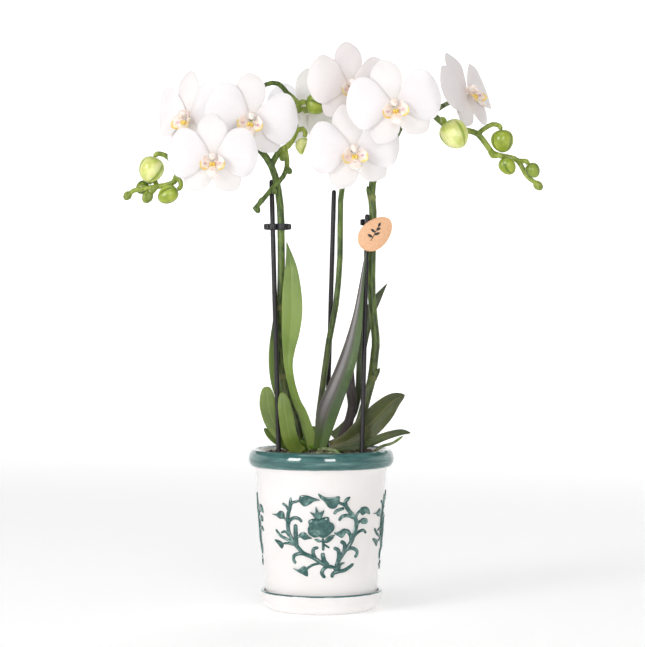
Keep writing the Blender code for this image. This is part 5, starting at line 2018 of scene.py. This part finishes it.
@dataclass
class Buds:
    """Closed buds with three seams, each in the place of its solid."""

    rows: int = 44
    columns: int = 60
    groove: float = 0.13
    overlap: float = 0.42
    overlap_depth: float = 0.45

    def shapes(self) -> tuple[BudShape, ...]:
        """The buds, from palest to greenest."""
        pale = BudFinish("bud_pale", tint(240, 242, 170), tint(206, 214, 110), tint(140, 168, 46))
        green = BudFinish("bud_green", tint(176, 190, 72), tint(140, 160, 42), tint(84, 112, 20))
        small = BudFinish("bud_small", tint(146, 166, 58), tint(110, 134, 34), tint(64, 88, 20))
        return (
            BudShape("left_large", (-0.35, 0, -0.93), pale),
            BudShape("left_round", (-0.8, -0.1, -0.5), green, turn=0.1),
            BudShape("left_small", (-0.8, 0, -0.6), small),
            BudShape("branch_large", (0.98, 0, -0.15), green, turn=1.4),
            BudShape("branch_bent", (-0.3, 0, -0.95), pale, bend=0.28),
            BudShape("right_large", (0.6, 0, -0.8), pale, seam=0.05, turn=2.95),
            BudShape("right_second", (0.2, 0, -1.0), green),
            BudShape("right_third", (0.6, 0, -0.8), green, turn=1.9),
            BudShape("right_fourth", (0.6, 0, -0.8), small),
        )

    def build(self) -> list[Array]:
        """Shape every bud.

        Returns:
            The middles of the buds.
        """
        finishes: dict[str, bpy.types.Material] = {}
        middles = []
        for bud in self.shapes():
            points = solid_points(f"bud_{bud.name}")
            axis = unit(np.array(bud.axis, float))
            low, high = solid_box(f"bud_{bud.name}")
            middle = (low + high) / 2
            off = points - middle
            shift = ((off @ axis).max() + (off @ axis).min()) / 2
            middle = middle + axis * shift
            length = float(np.ptp(off @ axis))
            side_way = off - (off @ axis)[:, None] * axis
            width = 2 * float(np.linalg.norm(side_way, axis=1).max())
            if bud.skin.name not in finishes:
                finishes[bud.skin.name] = bud.skin.made()
            clay = Clay()
            grid, seam = self.egg(axis, length, width, bud)
            clay.add_rod(grid + middle, seam=seam.reshape(-1))
            clay.deliver(f"closed_bud_{bud.name}", finishes[bud.skin.name], "bud_green", f"bud_{bud.name}")
            middles.append(middle)
        return middles

    def egg(self, axis: Array, length: float, width: float, bud: BudShape) -> tuple[Array, Array]:
        """A seamed egg about an axis.

        Args:
            axis: Direction to the tip.
            length: Its length along the axis.
            width: Its widest width.
            bud: Its bend and seams.

        Returns:
            Its rings of corners, and how deep in a seam each corner lies.
        """
        polar = np.linspace(0.04, math.pi - 0.03, self.rows)
        along = -np.cos(polar)
        share = (along + 1) / 2
        radius = np.sin(polar) ** 0.86 * (1 - 0.13 * along) * (1 - 0.10 * rise(share, 0.72, 1.0))
        radius /= radius.max()
        around = np.linspace(0, math.tau, self.columns, endpoint=False)
        first = unit(np.cross(axis, [0.0, 1.0, 0.0]))
        second = np.cross(axis, first)
        rows, seams = [], []
        for level, part, size in zip(along, share, radius):
            depth = np.zeros(self.columns)
            for seam in range(3):
                middle = bud.turn + math.tau * seam / 3 + 0.5 * (part - 0.5)
                gap = np.angle(np.exp(1j * (around - middle)))
                groove = np.exp(-((gap / self.groove) ** 2))
                overlap = self.overlap_depth * np.exp(-((gap / self.overlap) ** 2)) * (gap > 0)
                depth = np.maximum(depth, groove + overlap)
            depth = depth * rise(np.full(self.columns, part), 0.05, 0.3)
            ridges = 0.025 * np.cos(3 * (around - bud.turn) + math.pi)
            reach = width / 2 * size * (1 - bud.seam * depth + ridges)
            bent = first * bud.bend * width * (level**2 - 0.4)
            ring = np.cos(around)[:, None] * first + np.sin(around)[:, None] * second * 0.97
            rows.append(axis * level * length / 2 + bent + ring * reach[:, None])
            seams.append(depth)
        return np.array(rows), np.array(seams)


# ---------------------------------------------------------------- flowers


@dataclass(frozen=True)
class FlowerHabit:
    """What makes one flower differ from the next."""

    name: str
    phase: float = 0.0
    ruffle: float = 0.9
    droop: float = 1.0
    twist: float = 0.0
    # A flower marked so gets the darker, pinkish copy of the petal finish as painted shade.
    in_painted_shade: bool = False


@dataclass
class Flowers:
    """The open flowers: three sepals behind, two broad petals, and the lip with its column."""

    habits: tuple[FlowerHabit, ...] = (
        FlowerHabit("far_left", 0.4),
        FlowerHabit("left_front", 1.7, 1.1),
        FlowerHabit("left_upper", 2.9, 0.8, twist=11.0),
        FlowerHabit("turned_away", 0.9, 1.2, 1.3),
        FlowerHabit("top", 2.2, 1.0, in_painted_shade=True),
        FlowerHabit("middle_front", 3.6, 0.9, twist=6.0),
        FlowerHabit("middle_lower", 5.1, 1.0, twist=9.0),
        FlowerHabit("far_right", 1.1, 1.1, in_painted_shade=True),
    )
    sepal_sizes: tuple[Point, ...] = ((91.0, 34.6, 12.0), (-52.0, 31.0, 11.6), (-128.0, 31.0, 11.6))
    side_lobe: tuple[Point, ...] = ((1.6, -4.0, 2.6), (4.4, -4.6, 4.6), (7.2, -4.2, 6.6), (9.3, -3.2, 7.6))
    whisker: tuple[Point, ...] = (
        (0.5, -15.0, 9.9), (1.8, -16.4, 10.9), (3.8, -16.2, 12.1), (5.0, -14.4, 12.8), (4.6, -12.6, 12.9),
    )

    def build(self) -> list[Array]:
        """Shape every flower.

        Returns:
            The middles of the flowers.
        """
        petal = PetalFinish().made()
        # The sepals' warmer cream is painted shade.
        sepal_shade = PetalFinish("sepal_cream", tint(239, 236, 232), tint(249, 247, 244), tint(224, 214, 190)).made()
        # Darker, pinkish copy of the petal finish: painted shade for the flowers in shade.
        shaded_petal = PetalFinish("petal_blush", tint(236, 225, 223), tint(245, 237, 235), tint(228, 208, 184)).made()
        lip = LipFinish().made()
        middles = []
        for habit in self.habits:
            place = Attitude.of(habit.name)
            for label, clay, slot, material in (
                ("sepals", self.sepals(habit, place), "petal_white", shaded_petal if habit.in_painted_shade else sepal_shade),
                ("petals", self.petals(habit, place), "petal_white", shaded_petal if habit.in_painted_shade else petal),
                ("lip", self.lip(habit, place), "lip", lip),
            ):
                clay.deliver(f"bloom_{habit.name}_{label}", material, slot, f"flower_{habit.name}_{label}")
            middles.append(place.centre)
        return middles

    def sepals(self, habit: FlowerHabit, place: Attitude) -> Clay:
        """One sepal up and two splayed down.

        Args:
            habit: What sets this flower apart.
            place: Where it is and how it faces.

        Returns:
            The clay of the three sepals.
        """
        clay = Clay()
        for index, (heading, length, half) in enumerate(self.sepal_sizes):
            turn = math.radians(heading + habit.twist + 1.5 * math.sin(habit.phase + index))
            way = np.array([math.cos(turn), math.sin(turn), 0.0])
            depth = (-1.3, -1.2, -1.3, -1.9, -2.6 - 0.9 * habit.droop)
            spots = (0.06, 0.3, 0.55, 0.8, 1.0)
            bow = np.array([-way[1], way[0], 0]) * 0.8 * math.sin(habit.phase * 2 + index)
            route = tuple(
                tuple(way * length * spot + bow * math.sin(math.pi * spot) + np.array([0, 0, deep]))
                for spot, deep in zip(spots, depth)
            )
            width = tuple(half * share for share in (0.24, 0.74, 1.0, 0.96, 0.66))
            Blade(
                route, width, width, cup=-0.07, fold=0.06, ruffle=0.35 * habit.ruffle, ruffles=1.7,
                phase=habit.phase + index, thickness=0.72, tip=(4.2, 0.5), steps=(34, 22),
            ).add_to(clay, place)
        return clay

    def petals(self, habit: FlowerHabit, place: Attitude) -> Clay:
        """Two broad petals on narrow claws, mirrored but not alike.

        Args:
            habit: What sets this flower apart.
            place: Where it is and how it faces.

        Returns:
            The clay of the two petals.
        """
        clay = Clay()
        for index, sign in enumerate((1.0, -1.0)):
            sway = 0.7 * math.sin(habit.phase * 1.7 + index * 2)
            route = (
                (sign * 1.8, 0.1, 0.1),
                (sign * 9.5, 0.9, 1.3),
                (sign * 19.0, 1.7 + sway * 0.5, 1.9),
                (sign * 28.0, 2.2 + sway, 1.0),
                (sign * 35.0, 2.5 + sway, -1.6 * habit.droop),
            )
            upper = (2.0, 10.2, 18.8, 22.4, 21.6, 19.0)
            lower = (1.8, 7.8, 14.6, 18.4, 18.0, 14.5)
            left, right = (upper, lower) if sign > 0 else (lower, upper)
            Blade(
                route, left, right, cup=-0.035, ruffle=0.85 * habit.ruffle, ruffles=1.9,
                phase=habit.phase + index * 2.4, thickness=0.7, tip=(4.6, 0.5), steps=(44, 40),
            ).add_to(clay, place)
        return clay

    def lip(self, habit: FlowerHabit, place: Attitude) -> Clay:
        """The column with its cap, two side lobes, the callus, the middle lobe and its two whiskers.

        Args:
            habit: What sets this flower apart.
            place: Where it is and how it faces.

        Returns:
            The clay of the lip.
        """
        clay = Clay()
        shares = np.linspace(0, 1, 18)
        column = through(np.array([(0, 0.9, 0.2), (0, 1.7, 3.2), (0, 1.3, 6.2), (0, 0.3, 8.4)]), shares)
        girth = through([2.1, 2.5, 2.8, 2.4], shares) * np.sqrt(np.maximum(1 - shares**10, 0.02))
        clay.add_rod(place.out(rod_grid(column, girth, 20)), gold=0.0)
        self.add_ball(clay, place, (0, -0.5, 8.3), (2.2, 1.8, 1.5), gold=0.05)
        for sign in (1.0, -1.0):
            route = tuple((sign * x, y, z) for x, y, z in self.side_lobe)
            upper, lower = (1.5, 5.2, 7.0, 6.6), (1.5, 5.0, 6.6, 6.0)
            left, right = (upper, lower) if sign > 0 else (lower, upper)
            blade = Blade(
                route, left, right, face=(-0.45 * sign, 0.1, 0.88), cup=0.24, ruffle=0.5, ruffles=1.2,
                phase=habit.phase, thickness=0.7, tip=(3.6, 0.5), steps=(26, 24),
            )
            grid, thick, u, v = blade.sheet()
            rim = rise(np.maximum(u, np.abs(v)), 0.74, 0.96)
            gold = rise(u, 0.2, 0.6) * rise(v * sign, -0.5, 0.7) * (0.35 + 0.65 * rim)
            spot = (1 - rise(u, 0.2, 0.5)) * 0.6
            stripe = np.exp(-(((v * sign - 0.1) / 0.16) ** 2)) * np.exp(-(((u - 0.5) / 0.16) ** 2))
            plum = stripe * (0.9 if sign > 0 else 0.7)
            clay.add_skin(place.out(grid), thick * place.size, gold=gold, spot=spot, plum=plum)
        for sign in (1.0, -1.0):
            self.add_ball(clay, place, (sign * 1.0, -5.2, 5.4), (1.2, 1.6, 1.5), gold=0.8, spot=0.95)
        route = ((0, -4.2, 3.4), (0, -7.4, 5.6), (0, -10.8, 8.0), (0, -13.6, 9.6), (0, -15.8, 10.2))
        half = (1.7, 2.6, 4.3, 4.4, 2.0)
        middle = Blade(
            route, half, half, face=(0, 0.55, 0.84), cup=-0.22, fold=0.12, ruffle=0.3, thickness=0.8,
            tip=(4.0, 0.5), steps=(28, 20),
        )
        grid, thick, u, v = middle.sheet()
        gold = 0.6 * (1 - rise(u, 0.15, 0.45))
        clay.add_skin(place.out(grid), thick * place.size, gold=gold, spot=0.8 * (1 - rise(u, 0.3, 0.6)))
        for sign in (1.0, -1.0):
            knots = np.array(self.whisker) * [sign, 1.0, 1.0]
            shares = np.linspace(0, 1, 26)
            girth = 0.42 * (1 - 0.62 * shares)
            clay.add_rod(place.out(rod_grid(through(knots, shares), girth, 8)), gold=0.12)
        return clay

    @staticmethod
    def add_ball(clay: Clay, place: Attitude, centre: Point, radii: Point, **marks: float) -> None:
        """Add a round swelling in the flower's own frame.

        Args:
            clay: Where it is added.
            place: The flower's attitude.
            centre: Its middle.
            radii: Its half-width, half-height and half-depth.
            **marks: A number for each mark over the whole swelling.
        """
        polar = np.linspace(0.05, math.pi - 0.05, 14)
        around = np.linspace(0, math.tau, 20, endpoint=False)
        flat = np.sin(polar)[:, None]
        height = np.repeat(-np.cos(polar)[:, None], len(around), axis=1)
        ring = np.stack([flat * np.cos(around), flat * np.sin(around), height], -1)
        clay.add_rod(place.out(ring * np.array(radii) + np.array(centre)), **marks)


# ---------------------------------------------------------------- studio


@dataclass(frozen=True)
class SoftBox:
    """A rectangular soft light aimed at the plant. Angles are in degrees, lengths in metres, power in watts."""

    name: str
    azimuth: float
    elevation: float
    far: float
    size: Pair
    watts: float
    gloss_only: bool = False

    AIM = Vector((0, 0, 0.2))

    def hang(self) -> None:
        """Put the light in the scene. One that is gloss_only shows only as a reflection."""
        light = bpy.data.lights.new(self.name, "AREA")
        light.shape = "RECTANGLE"
        light.size, light.size_y = self.size
        light.energy = self.watts
        side, up = math.radians(self.azimuth), math.radians(self.elevation)
        way = Vector((math.sin(side) * math.cos(up), -math.cos(side) * math.cos(up), math.sin(up)))
        holder = put(self.name, light)
        holder.location = self.AIM + way * self.far
        holder.rotation_euler = (-way).to_track_quat("-Z", "Y").to_euler()
        holder.visible_diffuse = not self.gloss_only


@dataclass
class Studio:
    """Paper floor, soft boxes and the camera, in metres."""

    distance: float = 1.74
    camera_height: float = 0.245
    aim_height: float = 0.2158
    aside: float = 0.0009
    lens: float = 128.0
    floor_radius: float = 3.4
    sweep: float = 0.9
    wall_height: float = 1.7
    surroundings: float = 0.27
    boxes: tuple[SoftBox, ...] = (
        SoftBox("front_left_box", -44, 15, 2.2, (0.8, 0.5), 13),
        SoftBox("front_right_box", 14, 14, 2.4, (0.7, 0.46), 7),
        SoftBox("left_card", -44, 14, 2.1, (0.72, 1.0), 20, gloss_only=True),
        SoftBox("right_card", 14, 13, 2.3, (0.62, 0.95), 16, gloss_only=True),
        SoftBox("high_box", -20, 70, 2.2, (1.5, 1.5), 13),
        SoftBox("back_box", 160, 35, 2.4, (1.2, 1.2), 7),
    )

    def build_floor(self) -> None:
        """A round floor that sweeps up at its border."""
        rows = [(radius, 0.0) for radius in np.linspace(0.001, self.floor_radius, 14)]
        rows += arc(-82, -6, 12, (self.floor_radius, self.sweep), (self.sweep, self.sweep))
        rows.append((self.floor_radius + self.sweep + 0.08, self.wall_height))
        clay = Clay()
        clay.add_tube(lathe_grid(np.array(rows)[::-1] / MM, 96))
        clay.cast("studio_floor", StudioFinish().made())

    def build_lights(self) -> None:
        """White surroundings, and the soft boxes and reflection cards."""
        world = bpy.data.worlds.new("white_room")
        world.use_nodes = True
        around = world.node_tree.nodes["Background"]
        around.inputs["Color"].default_value = (1.0, 1.0, 1.0, 1.0)
        around.inputs["Strength"].default_value = self.surroundings
        bpy.context.scene.world = world
        for box in self.boxes:
            box.hang()

    def build_camera(self) -> None:
        """The camera, a little above the planter's rim, level with the leaves."""
        lens = bpy.data.cameras.new("view")
        lens.lens = self.lens
        lens.sensor_width = 36.0
        lens.clip_end = 50.0
        holder = put("view", lens)
        holder.location = (self.aside, -self.distance, self.camera_height)
        aim = Vector((self.aside, 0, self.aim_height))
        holder.rotation_euler = (aim - holder.location).to_track_quat("-Z", "Y").to_euler()
        bpy.context.scene.camera = holder
        bpy.context.scene.view_settings.view_transform = "Standard"


def main() -> None:
    logging.basicConfig(level=logging.INFO, format="%(name)s: %(message)s", stream=sys.stdout)
    studio = Studio()
    studio.build_camera()
    studio.build_lights()
    studio.build_floor()
    planter = Planter()
    planter.build_pot()
    planter.build_wreaths()
    Saucer().build(planter)
    potting = Potting()
    potting.dress()
    potting.build_chips()
    potting.build_moss()
    foliage = Foliage()
    foliage.build_crown()
    foliage.build_leaves()
    foliage.build_roots()
    supports = Supports()
    supports.build_stakes()
    supports.build_clips()
    supports.build_tag()
    ends = Buds().build() + Flowers().build()
    Spikes().build(ends)
    bpy.context.view_layer.update()


if __name__ == "__main__":
    main()
